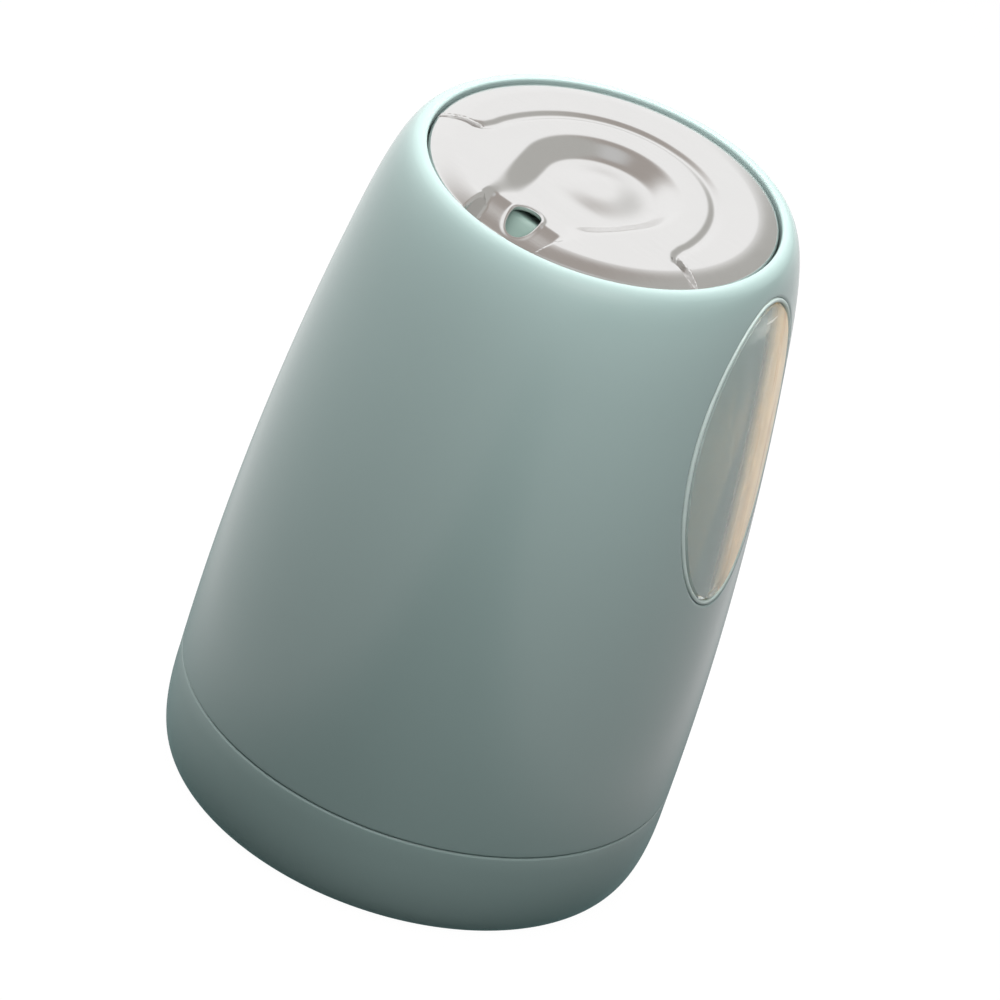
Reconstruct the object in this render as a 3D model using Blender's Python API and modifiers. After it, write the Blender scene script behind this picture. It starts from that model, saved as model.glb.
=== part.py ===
"""Toothpick dispenser: a canister that lifts off its base, with a turning pressed-metal lid.

Metres, +Z up. The origin is the centre of the footprint on the table. The front, where the lid's
hole stands when it is shut, is -Y, and the oval window looks to +X and a little back.
"""
import math

import bmesh
import bpy
import numpy as np
from mathutils import Matrix, Vector

# Body outline
LID_OPENING_RADIUS = 0.0250
LIP_WIDTH = 0.00075
LIP_ROUND = 0.00035
LIP_EASE = 0.0031
SHOULDER_SPREAD = 0.00585
SHOULDER_DROP = 0.0214
SHOULDER_EASE = 0.01035
FLANK_SPREAD = 0.00395
BELLY_HEIGHT = 0.0196
SEAM_HEIGHT = 0.0148
SEAM_GAP = 0.0003
FOOT_DRAW = 0.00295
FOOT_ROUND_HEIGHT = 0.0113
FOOT_POWER = 0.85
SHELL_WALL = 0.0022
HEADSPACE = 0.0082

# Seat of the deck inside the shell
LIP_DEPTH = 0.0030
LEDGE_WIDTH = 0.0012
LEDGE_EASE = 0.0012
INNER_SHOULDER_EASE = 0.0090

# Clearances
CLEARANCE = 0.0003
SEAL_CLEARANCE = 0.00015
CUT_OVERRUN = 0.0020

# Oval window
WINDOW_HALF_WIDTH = 0.0121
WINDOW_HALF_HEIGHT = 0.0234
WINDOW_TOP_DROP = 0.0031
WINDOW_TURN = math.radians(8)
GASKET_WIDTH = 0.0006

# Pressed lid
SHEET = 0.00055
LID_PROUD = 0.00045
RIM_WIDTH = 0.0034
RIM_ROUND = 0.0004
SKIRT_DROP = 0.0036
DISH_RADIUS = 0.0117
DISH_SHIFT = 0.0011
DISH_DEPTH = 0.0016
DISH_WALL_WIDTH = 0.0042
CHANNEL_HALF_WIDTH = 0.0066
CHANNEL_WALL_WIDTH = 0.0014
CHANNEL_NECK_INSET = 0.0055
CHANNEL_CREST_INSET = 0.0078
CHANNEL_CREST_DEPTH = 0.0004
CHANNEL_TROUGH_INSET = 0.0035
CHANNEL_TROUGH_DEPTH = 0.0032
HOLE_INSET = 0.0068
HOLE_RADIUS = 0.0022
NOTCH_WIDTH = 0.0016
NOTCH_ANGLE = math.radians(69)

# Lid hub, washers and stop
HUB_FLANGE_RADIUS = 0.0072
HUB_FLANGE_THICKNESS = 0.0011
SHAFT_RADIUS = 0.0036
SHAFT_FLAT_DEPTH = 0.0008
GLIDE_WASHER_THICKNESS = 0.0004
BUSH_WALL = 0.0012
WAVE_WASHER_WIDTH = 0.0024
WAVE_WASHER_THICKNESS = 0.0003
WAVE_HEIGHT = 0.0005
WAVE_COUNT = 3
STOP_THICKNESS = 0.0012
STOP_RADIUS = 0.0070
STOP_ARM_REACH = 0.0115
STOP_ARM_WIDTH = 0.0030
STOP_POST_RADIUS = 0.0011
STOP_POST_SETBACK = 0.0015
SCREW_HEAD_RADIUS = 0.0046
SCREW_HEAD_HEIGHT = 0.0015
SCREW_SHANK_RADIUS = 0.0012
SCREW_BITE = 0.0040
LID_TURN = math.radians(60)

# Deck
DECK_UNDERSIDE_DROP = 0.0072
MOAT_WIDTH = 0.0024
MOAT_DROP = 0.0050
CRATER_MARGIN = 0.0026
PORT_RADIUS = 0.0025
RETAINER_WIDTH = 0.0038
RETAINER_HEIGHT = 0.0025
GUIDE_FLANGE_RADIUS = 0.0048
GUIDE_FLANGE_THICKNESS = 0.0012
GUIDE_WALL = 0.0010
GUIDE_LENGTH = 0.0045
RIM_GLIDE_WIDTH = 0.0016
RIM_GLIDE_THICKNESS = 0.0007

# Base
BASE_WALL = 0.0020
BASE_FLOOR = 0.0038
FOOT_RING_PROUD = 0.0004
FOOT_RING_THICKNESS = 0.0012
FOOT_RING_INSET = 0.0041
FOOT_RING_WIDTH = 0.0050
INSERT_WALL = 0.0022
INSERT_FLOOR = 0.0018
TRAY_RISE = 0.0022
SPIGOT_HEIGHT = 0.0112
SEAL_RISE = 0.0062
SEAL_THICKNESS = 0.0012
BOSS_RADIUS = 0.0028
BASE_SCREW_HEAD_RADIUS = 0.0021
BASE_SCREW_HEAD_HEIGHT = 0.0012
BASE_SCREW_SHANK_RADIUS = 0.0011
BASE_SCREW_BITE = 0.0060
BASE_SCREW_COUNT = 3

# Stock of picks
PICK_LENGTH = 0.0650
PICK_RADIUS = 0.0010
PICK_POINT = 0.0070
PICK_COUNT = 30
STOCK_MARGIN = 0.0020
PICK_SIDES = 6
SPIRAL_ANGLE = math.radians(137.5)

# Smoothness, in steps round a full turn and in points along a curve
BODY_STEPS = 56
LID_STEPS = 96
RING_STEPS = 36
SMALL_STEPS = 16
SHOULDER_POINTS = 7
SIDE_POINTS = 6
FOOT_POINTS = 6
OVAL_STEPS = 40
SEAL_POINTS = 6
RIM_POINTS = 4
DECK_POINTS = 5

# Heights of the base, worked out from the sizes above
TRAY_HEIGHT = SEAM_HEIGHT + TRAY_RISE
SEAL_HEIGHT = SEAM_HEIGHT + SEAL_RISE
SPIGOT_TOP = SEAM_HEIGHT + SPIGOT_HEIGHT
BASE_TOP = SEAM_HEIGHT - SEAM_GAP / 2
BASE_UNDERSIDE = FOOT_RING_PROUD
BASE_FLOOR_TOP = BASE_UNDERSIDE + BASE_FLOOR
INSERT_SEAT = BASE_FLOOR_TOP + CLEARANCE
FOOT_RING_GROOVE_TOP = FOOT_RING_THICKNESS + CLEARANCE

# The picks stand on the tray, with headspace between their tips and the guide under the port
GUIDE_DROP = DECK_UNDERSIDE_DROP + CLEARANCE + GUIDE_LENGTH
STOCK_TOP = TRAY_HEIGHT + CLEARANCE + PICK_LENGTH
BODY_HEIGHT = STOCK_TOP + HEADSPACE + GUIDE_DROP

# Heights of the housing and lid
SHOULDER_HEIGHT = BODY_HEIGHT - SHOULDER_DROP
SHELL_FOOT = SEAM_HEIGHT + SEAM_GAP / 2
LEDGE_HEIGHT = BODY_HEIGHT - LIP_DEPTH
WINDOW_CENTRE_HEIGHT = BODY_HEIGHT - WINDOW_TOP_DROP - WINDOW_HALF_HEIGHT
LID_TOP = BODY_HEIGHT + LID_PROUD
DECK_UNDERSIDE = BODY_HEIGHT - DECK_UNDERSIDE_DROP
HUB_TOP = LID_TOP - DISH_DEPTH - SHEET - CLEARANCE
HUB_FLANGE_UNDERSIDE = HUB_TOP - HUB_FLANGE_THICKNESS
GLIDE_WASHER_TOP = HUB_FLANGE_UNDERSIDE - CLEARANCE
CRATER_FLOOR = GLIDE_WASHER_TOP - GLIDE_WASHER_THICKNESS - CLEARANCE
WAVE_WASHER_TOP = DECK_UNDERSIDE - CLEARANCE
STOP_TOP = WAVE_WASHER_TOP - WAVE_HEIGHT - WAVE_WASHER_THICKNESS - CLEARANCE
STOP_UNDERSIDE = STOP_TOP - STOP_THICKNESS
SCREW_SEAT = STOP_UNDERSIDE - CLEARANCE

# Radii, from the lid's opening outwards and inwards
LIP_RADIUS = LID_OPENING_RADIUS + LIP_WIDTH
SHOULDER_RADIUS = LIP_RADIUS + SHOULDER_SPREAD
BELLY_RADIUS = SHOULDER_RADIUS + FLANK_SPREAD
FOOT_RADIUS = BELLY_RADIUS - FOOT_DRAW
LEDGE_RADIUS = LID_OPENING_RADIUS + LEDGE_WIDTH
LID_RADIUS = LID_OPENING_RADIUS - CLEARANCE
LID_FLAT_RADIUS = LID_RADIUS - RIM_WIDTH
HOLE_REACH = LID_RADIUS - HOLE_INSET
CHANNEL_NECK_REACH = LID_RADIUS - CHANNEL_NECK_INSET
CHANNEL_CREST_REACH = LID_RADIUS - CHANNEL_CREST_INSET
CHANNEL_TROUGH_REACH = LID_RADIUS - CHANNEL_TROUGH_INSET
MOAT_INNER_RADIUS = LID_RADIUS - MOAT_WIDTH
MOAT_OUTER_RADIUS = LID_OPENING_RADIUS - CLEARANCE / 3
CRATER_RADIUS = HUB_FLANGE_RADIUS + CRATER_MARGIN
BUSH_BORE = SHAFT_RADIUS + CLEARANCE
DECK_BORE = BUSH_BORE + BUSH_WALL + CLEARANCE
STOP_POST_REACH = STOP_ARM_REACH - STOP_POST_SETBACK
FOOT_RING_OUTER_RADIUS = FOOT_RADIUS - FOOT_RING_INSET
FOOT_RING_INNER_RADIUS = FOOT_RING_OUTER_RADIUS - FOOT_RING_WIDTH
SCREW_CIRCLE = (FOOT_RING_INNER_RADIUS + FOOT_RING_OUTER_RADIUS) / 2


def clear_scene():
    for thing in list(bpy.data.objects):
        bpy.data.objects.remove(thing, do_unlink=True)


def new_collection(name):
    collection = bpy.data.collections.new(name)
    bpy.context.scene.collection.children.link(collection)
    return collection


clear_scene()
PARTS = new_collection("toothpick_dispenser")
CUTTERS = new_collection("cutters")


def finish(name, colour, roughness, metallic=0.0, transmission=0.0):
    material = bpy.data.materials.new(name)
    material.use_nodes = True
    shader = material.node_tree.nodes["Principled BSDF"]
    shader.inputs["Base Color"].default_value = (*colour, 1.0)
    shader.inputs["Roughness"].default_value = roughness
    shader.inputs["Metallic"].default_value = metallic
    shader.inputs["Transmission Weight"].default_value = transmission
    return material


def add_object(name, mesh, material=None, collection=PARTS):
    thing = bpy.data.objects.new(name, mesh)
    collection.objects.link(thing)
    if material:
        mesh.materials.append(material)
    if collection is CUTTERS:
        thing.hide_render = True
        thing.display_type = "WIRE"
    return thing


def mesh_from(bm, name):
    mesh = bpy.data.meshes.new(name)
    bm.to_mesh(mesh)
    bm.free()
    return mesh


def smooth(thing):
    thing.data.shade_smooth()
    thing.data.set_sharp_from_angle(angle=math.radians(35))


def turned(name, profile, steps, material=None, collection=PARTS, closed=True):
    """A profile of (radius, height) pairs, down its outer side first, swept round the Z axis."""
    mesh = bpy.data.meshes.new(name)
    points = [(radius, 0.0, height) for radius, height in profile]
    edges = [(index, index + 1) for index in range(len(points) - 1)]
    if closed:
        edges.append((len(points) - 1, 0))
    mesh.from_pydata(points, edges, [])
    thing = add_object(name, mesh, collection=collection)
    screw = thing.modifiers.new("turn", "SCREW")
    screw.axis = "Z"
    screw.steps = steps
    screw.render_steps = steps
    screw.use_merge_vertices = True
    screw.merge_threshold = 0.00001
    baked = baked_mesh(thing)
    old = thing.data
    thing.modifiers.clear()
    thing.data = baked
    bpy.data.meshes.remove(old)
    if material:
        baked.materials.append(material)
    smooth(thing)
    return thing


def baked_mesh(thing):
    bpy.context.view_layer.update()
    graph = bpy.context.evaluated_depsgraph_get()
    return bpy.data.meshes.new_from_object(thing.evaluated_get(graph))


def ring_profile(inner, outer, bottom, top):
    return [(outer, top), (outer, bottom), (inner, bottom), (inner, top)]


def disc_profile(radius, bottom, top):
    return [(0.0, top), (radius, top), (radius, bottom), (0.0, bottom)]


def drum(name, radius, bottom, top, at=(0.0, 0.0), steps=SMALL_STEPS):
    bm = bmesh.new()
    bmesh.ops.create_cone(bm, cap_ends=True, segments=steps, radius1=radius, radius2=radius,
                          depth=top - bottom,
                          matrix=Matrix.Translation((at[0], at[1], (top + bottom) / 2)))
    return add_object(name, mesh_from(bm, name), collection=CUTTERS)


def block(name, low, high, turn=0.0):
    size = Vector(high) - Vector(low)
    centre = (Vector(high) + Vector(low)) / 2
    bm = bmesh.new()
    bmesh.ops.create_cube(bm, size=1.0)
    bmesh.ops.scale(bm, vec=size, verts=bm.verts)
    bmesh.ops.translate(bm, vec=centre, verts=bm.verts)
    bmesh.ops.rotate(bm, verts=bm.verts, cent=(0.0, 0.0, 0.0), matrix=Matrix.Rotation(turn, 3, "Z"))
    return add_object(name, mesh_from(bm, name), collection=CUTTERS)


def oval_prism(name, half_width, half_height):
    """An elliptic bar from the centre line out through the wall on the window's side only."""
    bm = bmesh.new()
    bmesh.ops.create_cone(bm, cap_ends=True, segments=OVAL_STEPS, radius1=1.0, radius2=1.0,
                          depth=1.0, matrix=Matrix.Rotation(math.pi / 2, 4, "Y"))
    length = BELLY_RADIUS + CUT_OVERRUN
    bmesh.ops.scale(bm, vec=(length / 2, half_width, half_height), verts=bm.verts)
    bmesh.ops.translate(bm, vec=(length * 3 / 4, 0.0, WINDOW_CENTRE_HEIGHT), verts=bm.verts)
    bmesh.ops.rotate(bm, verts=bm.verts, cent=(0.0, 0.0, 0.0),
                     matrix=Matrix.Rotation(WINDOW_TURN, 3, "Z"))
    return add_object(name, mesh_from(bm, name), collection=CUTTERS)


def combine(thing, other, operation):
    modifier = thing.modifiers.new(other.name, "BOOLEAN")
    modifier.operation = operation
    modifier.object = other


def around(reach, angle):
    """A plan point at a reach from the centre, the angle counted from the front (-Y) towards +X."""
    return (reach * math.sin(angle), -reach * math.cos(angle))


def side_radius(height):
    """The flank is a parabola that is widest at the belly and meets the shoulder above."""
    share = (height - BELLY_HEIGHT) / (SHOULDER_HEIGHT - BELLY_HEIGHT)
    return BELLY_RADIUS - (BELLY_RADIUS - SHOULDER_RADIUS) * share ** 2


def shoulder_points(top_radius, top_height, inset, top_ease, foot_ease):
    """A cubic curve that leaves the lip level and runs into the flank's own slope."""
    slope = 2 * (BELLY_RADIUS - SHOULDER_RADIUS) / (SHOULDER_HEIGHT - BELLY_HEIGHT)
    top = np.array((top_radius, top_height))
    foot = np.array((SHOULDER_RADIUS - inset, SHOULDER_HEIGHT))
    top_handle = top + np.array((top_ease, 0.0))
    foot_handle = foot + foot_ease * np.array((-slope, 1.0)) / math.hypot(slope, 1.0)
    points = []
    for step in range(SHOULDER_POINTS + 1):
        share = step / SHOULDER_POINTS
        rest = 1.0 - share
        point = (rest ** 3 * top + 3 * rest ** 2 * share * top_handle
                 + 3 * rest * share ** 2 * foot_handle + share ** 3 * foot)
        points.append((float(point[0]), float(point[1])))
    return points


def flank_points(top, bottom, inset=0.0):
    heights = [top + (bottom - top) * step / SIDE_POINTS for step in range(SIDE_POINTS + 1)]
    return [(side_radius(height) - inset, height) for height in heights]


def shell_outer():
    shoulder = shoulder_points(LIP_RADIUS, BODY_HEIGHT, 0.0, LIP_EASE, SHOULDER_EASE)
    return shoulder[:-1] + flank_points(SHOULDER_HEIGHT, SHELL_FOOT)


def shell_inner():
    bore = side_radius(SEAM_HEIGHT) - SHELL_WALL
    shoulder = shoulder_points(LEDGE_RADIUS, LEDGE_HEIGHT, SHELL_WALL, LEDGE_EASE,
                               INNER_SHOULDER_EASE)
    flank = flank_points(SHOULDER_HEIGHT, SPIGOT_TOP + CUT_OVERRUN, SHELL_WALL)
    return shoulder[:-1] + flank + [(bore, SPIGOT_TOP), (bore, SHELL_FOOT)]


def inner_radius_at(height):
    """The radius of the shell's inner wall at a height, read along its faceted profile."""
    points = list(reversed(shell_inner()))
    return float(np.interp(height, [point[1] for point in points], [point[0] for point in points]))


def wall_profile():
    """The closed section of the shell's wall without its lip, shared by the pane and the gasket."""
    return shell_outer() + list(reversed(shell_inner()))


TEAL = (0.235, 0.352, 0.342)
BODY_PLASTIC = finish("body plastic", TEAL, 0.25)
DECK_PLASTIC = finish("deck plastic", TEAL, 0.4)
CLEAR_PLASTIC = finish("clear plastic", (0.9, 0.92, 0.9), 0.05, transmission=0.9)
PALE_GASKET = finish("pale gasket", (0.6, 0.66, 0.64), 0.5)
LID_METAL = finish("lid metal", (0.8, 0.79, 0.77), 0.3, metallic=1.0)
STEEL = finish("steel", (0.6, 0.6, 0.6), 0.3, metallic=1.0)
WHITE_PLASTIC = finish("white plastic", (0.8, 0.8, 0.78), 0.4)
NATURAL_PLASTIC = finish("natural plastic", (0.75, 0.75, 0.7), 0.35)
DARK_RUBBER = finish("dark rubber", (0.05, 0.055, 0.055), 0.7)
CLEAR_RUBBER = finish("seal rubber", (0.5, 0.55, 0.53), 0.5)
WOOD = finish("wood", (0.72, 0.52, 0.3), 0.6)


# Base
def base_outer():
    side_foot = BASE_UNDERSIDE + FOOT_ROUND_HEIGHT
    points = [(side_radius(BASE_TOP), BASE_TOP)]
    for step in range(FOOT_POINTS + 1):
        angle = math.pi / 2 * step / FOOT_POINTS
        across = side_radius(side_foot) - FOOT_RADIUS
        out = max(math.cos(angle), 0.0) ** FOOT_POWER
        down = math.sin(angle) ** FOOT_POWER
        points.append((FOOT_RADIUS + across * out, side_foot - FOOT_ROUND_HEIGHT * down))
    return points


def insert_radius():
    return side_radius(SEAM_HEIGHT) - SHELL_WALL - CLEARANCE


def screw_places():
    return [around(SCREW_CIRCLE, 2 * math.pi * index / BASE_SCREW_COUNT)
            for index in range(BASE_SCREW_COUNT)]


def make_base_cap():
    bore = insert_radius() + CLEARANCE
    floor_radius = FOOT_RADIUS - CLEARANCE
    profile = base_outer()
    profile += [(FOOT_RING_OUTER_RADIUS + CLEARANCE, BASE_UNDERSIDE),
                (FOOT_RING_OUTER_RADIUS + CLEARANCE, FOOT_RING_GROOVE_TOP),
                (FOOT_RING_INNER_RADIUS - CLEARANCE, FOOT_RING_GROOVE_TOP),
                (FOOT_RING_INNER_RADIUS - CLEARANCE, BASE_UNDERSIDE),
                (0.0, BASE_UNDERSIDE),
                (0.0, BASE_FLOOR_TOP),
                (floor_radius, BASE_FLOOR_TOP),
                (bore, BASE_FLOOR_TOP + BASE_WALL),
                (bore, BASE_TOP)]
    cap = turned("base_cap", profile, BODY_STEPS, BODY_PLASTIC)
    head_top = FOOT_RING_GROOVE_TOP + BASE_SCREW_HEAD_HEIGHT + CLEARANCE
    for index, place in enumerate(screw_places()):
        head = drum(f"cap_head_cut_{index}", BASE_SCREW_HEAD_RADIUS + CLEARANCE,
                    BASE_UNDERSIDE, head_top, place)
        shank = drum(f"cap_shank_cut_{index}", BASE_SCREW_SHANK_RADIUS + CLEARANCE,
                     BASE_UNDERSIDE, BASE_FLOOR_TOP + CUT_OVERRUN, place)
        combine(cap, head, "DIFFERENCE")
        combine(cap, shank, "DIFFERENCE")


def make_base_insert():
    outer = insert_radius()
    inner = outer - INSERT_WALL
    foot = BASE_FLOOR_TOP + BASE_WALL + CLEARANCE
    groove_floor = outer - SEAL_THICKNESS + SEAL_CLEARANCE - CLEARANCE
    groove_half = SEAL_THICKNESS / 2 + CLEARANCE
    profile = [(inner, SPIGOT_TOP), (outer, SPIGOT_TOP),
               (outer, SEAL_HEIGHT + groove_half), (groove_floor, SEAL_HEIGHT + groove_half),
               (groove_floor, SEAL_HEIGHT - groove_half), (outer, SEAL_HEIGHT - groove_half),
               (outer, foot), (inner, foot),
               (inner, TRAY_HEIGHT - INSERT_FLOOR), (0.0, TRAY_HEIGHT - INSERT_FLOOR),
               (0.0, TRAY_HEIGHT), (inner, TRAY_HEIGHT)]
    insert = turned("base_insert", profile, BODY_STEPS, WHITE_PLASTIC)
    for index, place in enumerate(screw_places()):
        boss = drum(f"boss_{index}", BOSS_RADIUS, INSERT_SEAT, TRAY_HEIGHT - INSERT_FLOOR / 2, place)
        pilot = drum(f"boss_pilot_{index}", BASE_SCREW_SHANK_RADIUS + CLEARANCE,
                     INSERT_SEAT - CUT_OVERRUN, INSERT_SEAT + BASE_SCREW_BITE + CLEARANCE, place)
        combine(insert, boss, "UNION")
        combine(insert, pilot, "DIFFERENCE")


def make_base_seal():
    radius = SEAL_THICKNESS / 2
    centre = insert_radius() + SEAL_CLEARANCE - radius
    profile = []
    for step in range(SEAL_POINTS):
        angle = -2 * math.pi * step / SEAL_POINTS
        profile.append((centre + radius * math.cos(angle), SEAL_HEIGHT + radius * math.sin(angle)))
    turned("base_seal", profile, BODY_STEPS, CLEAR_RUBBER)


def make_insert_screws():
    head_bottom = FOOT_RING_GROOVE_TOP
    head_top = head_bottom + BASE_SCREW_HEAD_HEIGHT
    tip = INSERT_SEAT + BASE_SCREW_BITE
    profile = [(0.0, tip), (BASE_SCREW_SHANK_RADIUS, tip - BASE_SCREW_SHANK_RADIUS),
               (BASE_SCREW_SHANK_RADIUS, head_top), (BASE_SCREW_HEAD_RADIUS, head_top),
               (BASE_SCREW_HEAD_RADIUS, head_bottom), (0.0, head_bottom)]
    for index, place in enumerate(screw_places()):
        screw = turned(f"insert_screw_{index + 1}", profile, SMALL_STEPS, STEEL, closed=False)
        screw.data.transform(Matrix.Translation((*place, 0.0)))


def make_foot_ring():
    turned("foot_ring", ring_profile(FOOT_RING_INNER_RADIUS, FOOT_RING_OUTER_RADIUS, 0.0,
                                     FOOT_RING_THICKNESS), BODY_STEPS, DARK_RUBBER)


def make_toothpicks():
    """Double-pointed picks standing on the tray, set out on a spiral that fills the circle evenly."""
    foot = TRAY_HEIGHT + CLEARANCE
    profile = [(0.0, foot + PICK_LENGTH), (PICK_RADIUS, foot + PICK_LENGTH - PICK_POINT),
               (PICK_RADIUS, foot + PICK_POINT), (0.0, foot)]
    stock_radius = inner_radius_at(STOCK_TOP) - PICK_RADIUS - STOCK_MARGIN
    for index in range(PICK_COUNT):
        reach = stock_radius * math.sqrt((index + 1) / PICK_COUNT)
        place = around(reach, index * SPIRAL_ANGLE)
        pick = turned(f"toothpick_{index + 1:02d}", profile, PICK_SIDES, WOOD, closed=False)
        pick.data.transform(Matrix.Translation((*place, 0.0)))


# Housing
def make_body_shell():
    lip = [(LID_OPENING_RADIUS, BODY_HEIGHT - LIP_ROUND),
           (LID_OPENING_RADIUS + LIP_ROUND, BODY_HEIGHT)]
    profile = lip + shell_outer() + list(reversed(shell_inner()))
    profile += [(LID_OPENING_RADIUS, LEDGE_HEIGHT)]
    shell = turned("body_shell", profile, BODY_STEPS, BODY_PLASTIC)
    combine(shell, oval_prism("window_opening", WINDOW_HALF_WIDTH, WINDOW_HALF_HEIGHT), "DIFFERENCE")


def make_window():
    gasket_outer = (WINDOW_HALF_WIDTH - CLEARANCE, WINDOW_HALF_HEIGHT - CLEARANCE)
    gasket_inner = [half - GASKET_WIDTH for half in gasket_outer]
    pane_edge = [half - CLEARANCE for half in gasket_inner]
    gasket = turned("window_gasket", wall_profile(), BODY_STEPS, PALE_GASKET)
    combine(gasket, oval_prism("gasket_outer_edge", *gasket_outer), "INTERSECT")
    combine(gasket, oval_prism("gasket_inner_edge", *gasket_inner), "DIFFERENCE")
    pane = turned("side_window", wall_profile(), BODY_STEPS, CLEAR_PLASTIC)
    combine(pane, oval_prism("pane_edge", *pane_edge), "INTERSECT")


def smooth_step(share):
    share = np.clip(share, 0.0, 1.0)
    return share * share * (3.0 - 2.0 * share)


def channel_depth(reach):
    """Depth of the channel's floor past its crest, where it falls steeply to a level trough."""
    fall = (reach - CHANNEL_CREST_REACH) / (CHANNEL_TROUGH_REACH - CHANNEL_CREST_REACH)
    return CHANNEL_CREST_DEPTH + (CHANNEL_TROUGH_DEPTH - CHANNEL_CREST_DEPTH) * smooth_step(fall)


def deck_points():
    """The deck's top keeps its clearance below the lid's channel, as the steepest sheet needs it."""
    run = CHANNEL_TROUGH_REACH - CHANNEL_CREST_REACH
    steepest = 3 / 2 * (CHANNEL_TROUGH_DEPTH - CHANNEL_CREST_DEPTH) / run
    spacing = SHEET * math.hypot(1.0, steepest) + CLEARANCE
    reaches = [CHANNEL_CREST_REACH + run * step / DECK_POINTS for step in range(DECK_POINTS + 1)]
    reaches.append(MOAT_INNER_RADIUS)
    return [(reach, float(LID_TOP - channel_depth(reach) - spacing)) for reach in reaches]


def make_top_deck():
    flange_top = LEDGE_HEIGHT - CLEARANCE
    edge = LEDGE_RADIUS - CLEARANCE
    profile = [(MOAT_OUTER_RADIUS, flange_top), (edge, flange_top), (edge, DECK_UNDERSIDE),
               (DECK_BORE, DECK_UNDERSIDE), (DECK_BORE, CRATER_FLOOR), (CRATER_RADIUS, CRATER_FLOOR)]
    profile += deck_points()
    profile += [(MOAT_INNER_RADIUS, BODY_HEIGHT - MOAT_DROP),
                (MOAT_OUTER_RADIUS, BODY_HEIGHT - MOAT_DROP)]
    deck = turned("top_deck", profile, BODY_STEPS, DECK_PLASTIC)
    port = drum("port_cut", PORT_RADIUS, DECK_UNDERSIDE - CUT_OVERRUN, LID_TOP,
                around(HOLE_REACH, LID_TURN))
    combine(deck, port, "DIFFERENCE")
    for index, angle in enumerate(stop_post_angles()):
        post = drum(f"stop_post_{index}", STOP_POST_RADIUS, STOP_UNDERSIDE,
                    DECK_UNDERSIDE + CUT_OVERRUN / 2, around(STOP_POST_REACH, angle))
        combine(deck, post, "UNION")


def stop_post_angles():
    """Each post stands where the arm's edge is a clearance short of it at its end of the turn."""
    half = STOP_ARM_WIDTH / 2 + STOP_POST_RADIUS + CLEARANCE
    margin = math.asin(half / STOP_POST_REACH)
    rest = math.pi
    return (rest - margin, rest + LID_TURN + margin)


def make_deck_retainer():
    top = DECK_UNDERSIDE - CLEARANCE
    outer = inner_radius_at(top) - CLEARANCE
    turned("deck_retainer", ring_profile(outer - RETAINER_WIDTH, outer, top - RETAINER_HEIGHT, top),
           BODY_STEPS, WHITE_PLASTIC)


def make_deck_bush():
    turned("deck_bush", ring_profile(BUSH_BORE, BUSH_BORE + BUSH_WALL, DECK_UNDERSIDE, CRATER_FLOOR),
           RING_STEPS, NATURAL_PLASTIC)


def make_pick_guide():
    top = DECK_UNDERSIDE - CLEARANCE
    mouth = top - GUIDE_LENGTH
    tube = PORT_RADIUS + GUIDE_WALL
    profile = [(PORT_RADIUS, top), (GUIDE_FLANGE_RADIUS, top),
               (GUIDE_FLANGE_RADIUS, top - GUIDE_FLANGE_THICKNESS),
               (tube, top - GUIDE_FLANGE_THICKNESS), (tube, top - GUIDE_LENGTH / 2),
               (GUIDE_FLANGE_RADIUS, mouth), (GUIDE_FLANGE_RADIUS - GUIDE_WALL, mouth),
               (PORT_RADIUS, top - GUIDE_LENGTH / 2)]
    guide = turned("pick_guide", profile, RING_STEPS // 2, NATURAL_PLASTIC)
    guide.data.transform(Matrix.Translation((*around(HOLE_REACH, LID_TURN), 0.0)))


# Lid
def press_depth(x, y):
    """How far the sheet is pressed below the flat top: a keyhole dish whose channel meets the rim."""
    reach = -y
    forward = reach - DISH_SHIFT
    across = np.abs(x)
    neck = CHANNEL_NECK_REACH - DISH_SHIFT
    taper = (DISH_RADIUS - CHANNEL_HALF_WIDTH) / neck
    lean = math.sqrt(1.0 - taper ** 2)
    to_dish = DISH_RADIUS - np.hypot(across, forward)
    to_taper = DISH_RADIUS - (across * lean + forward * taper)
    in_taper = (forward * lean > across * taper) & (forward < neck)
    to_channel = np.where(forward > neck, CHANNEL_HALF_WIDTH - across, -DISH_RADIUS)
    inside = np.maximum(np.maximum(to_dish, np.where(in_taper, to_taper, -DISH_RADIUS)), to_channel)
    narrowing = smooth_step((forward - DISH_RADIUS) / (neck - DISH_RADIUS))
    width = DISH_WALL_WIDTH + (CHANNEL_WALL_WIDTH - DISH_WALL_WIDTH) * narrowing
    rise = smooth_step((reach - DISH_RADIUS / 2) / (CHANNEL_CREST_REACH - DISH_RADIUS / 2))
    floor = channel_depth(reach) + (DISH_DEPTH - CHANNEL_CREST_DEPTH) * (1.0 - rise)
    return floor * smooth_step(inside / width)


def lid_profile():
    """The unpressed lid from its centre out: flat, bevelled to the rim's round, then a short skirt."""
    across = LID_RADIUS - RIM_ROUND - LID_FLAT_RADIUS
    flat_shares = (0.0, 0.20, 0.32, 0.40, 0.48, 0.56, 0.64, 0.71, 0.77, 0.81, 0.85, 0.89, 0.93, 1.0)
    points = [(LID_FLAT_RADIUS * share, LID_TOP) for share in flat_shares]
    for step in range(1, RIM_POINTS + 1):
        share = step / RIM_POINTS
        points.append((LID_FLAT_RADIUS + across * share, LID_TOP - LID_PROUD * share))
    points.append((LID_RADIUS, BODY_HEIGHT - RIM_ROUND))
    points.append((LID_RADIUS, BODY_HEIGHT - SKIRT_DROP))
    return points


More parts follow.
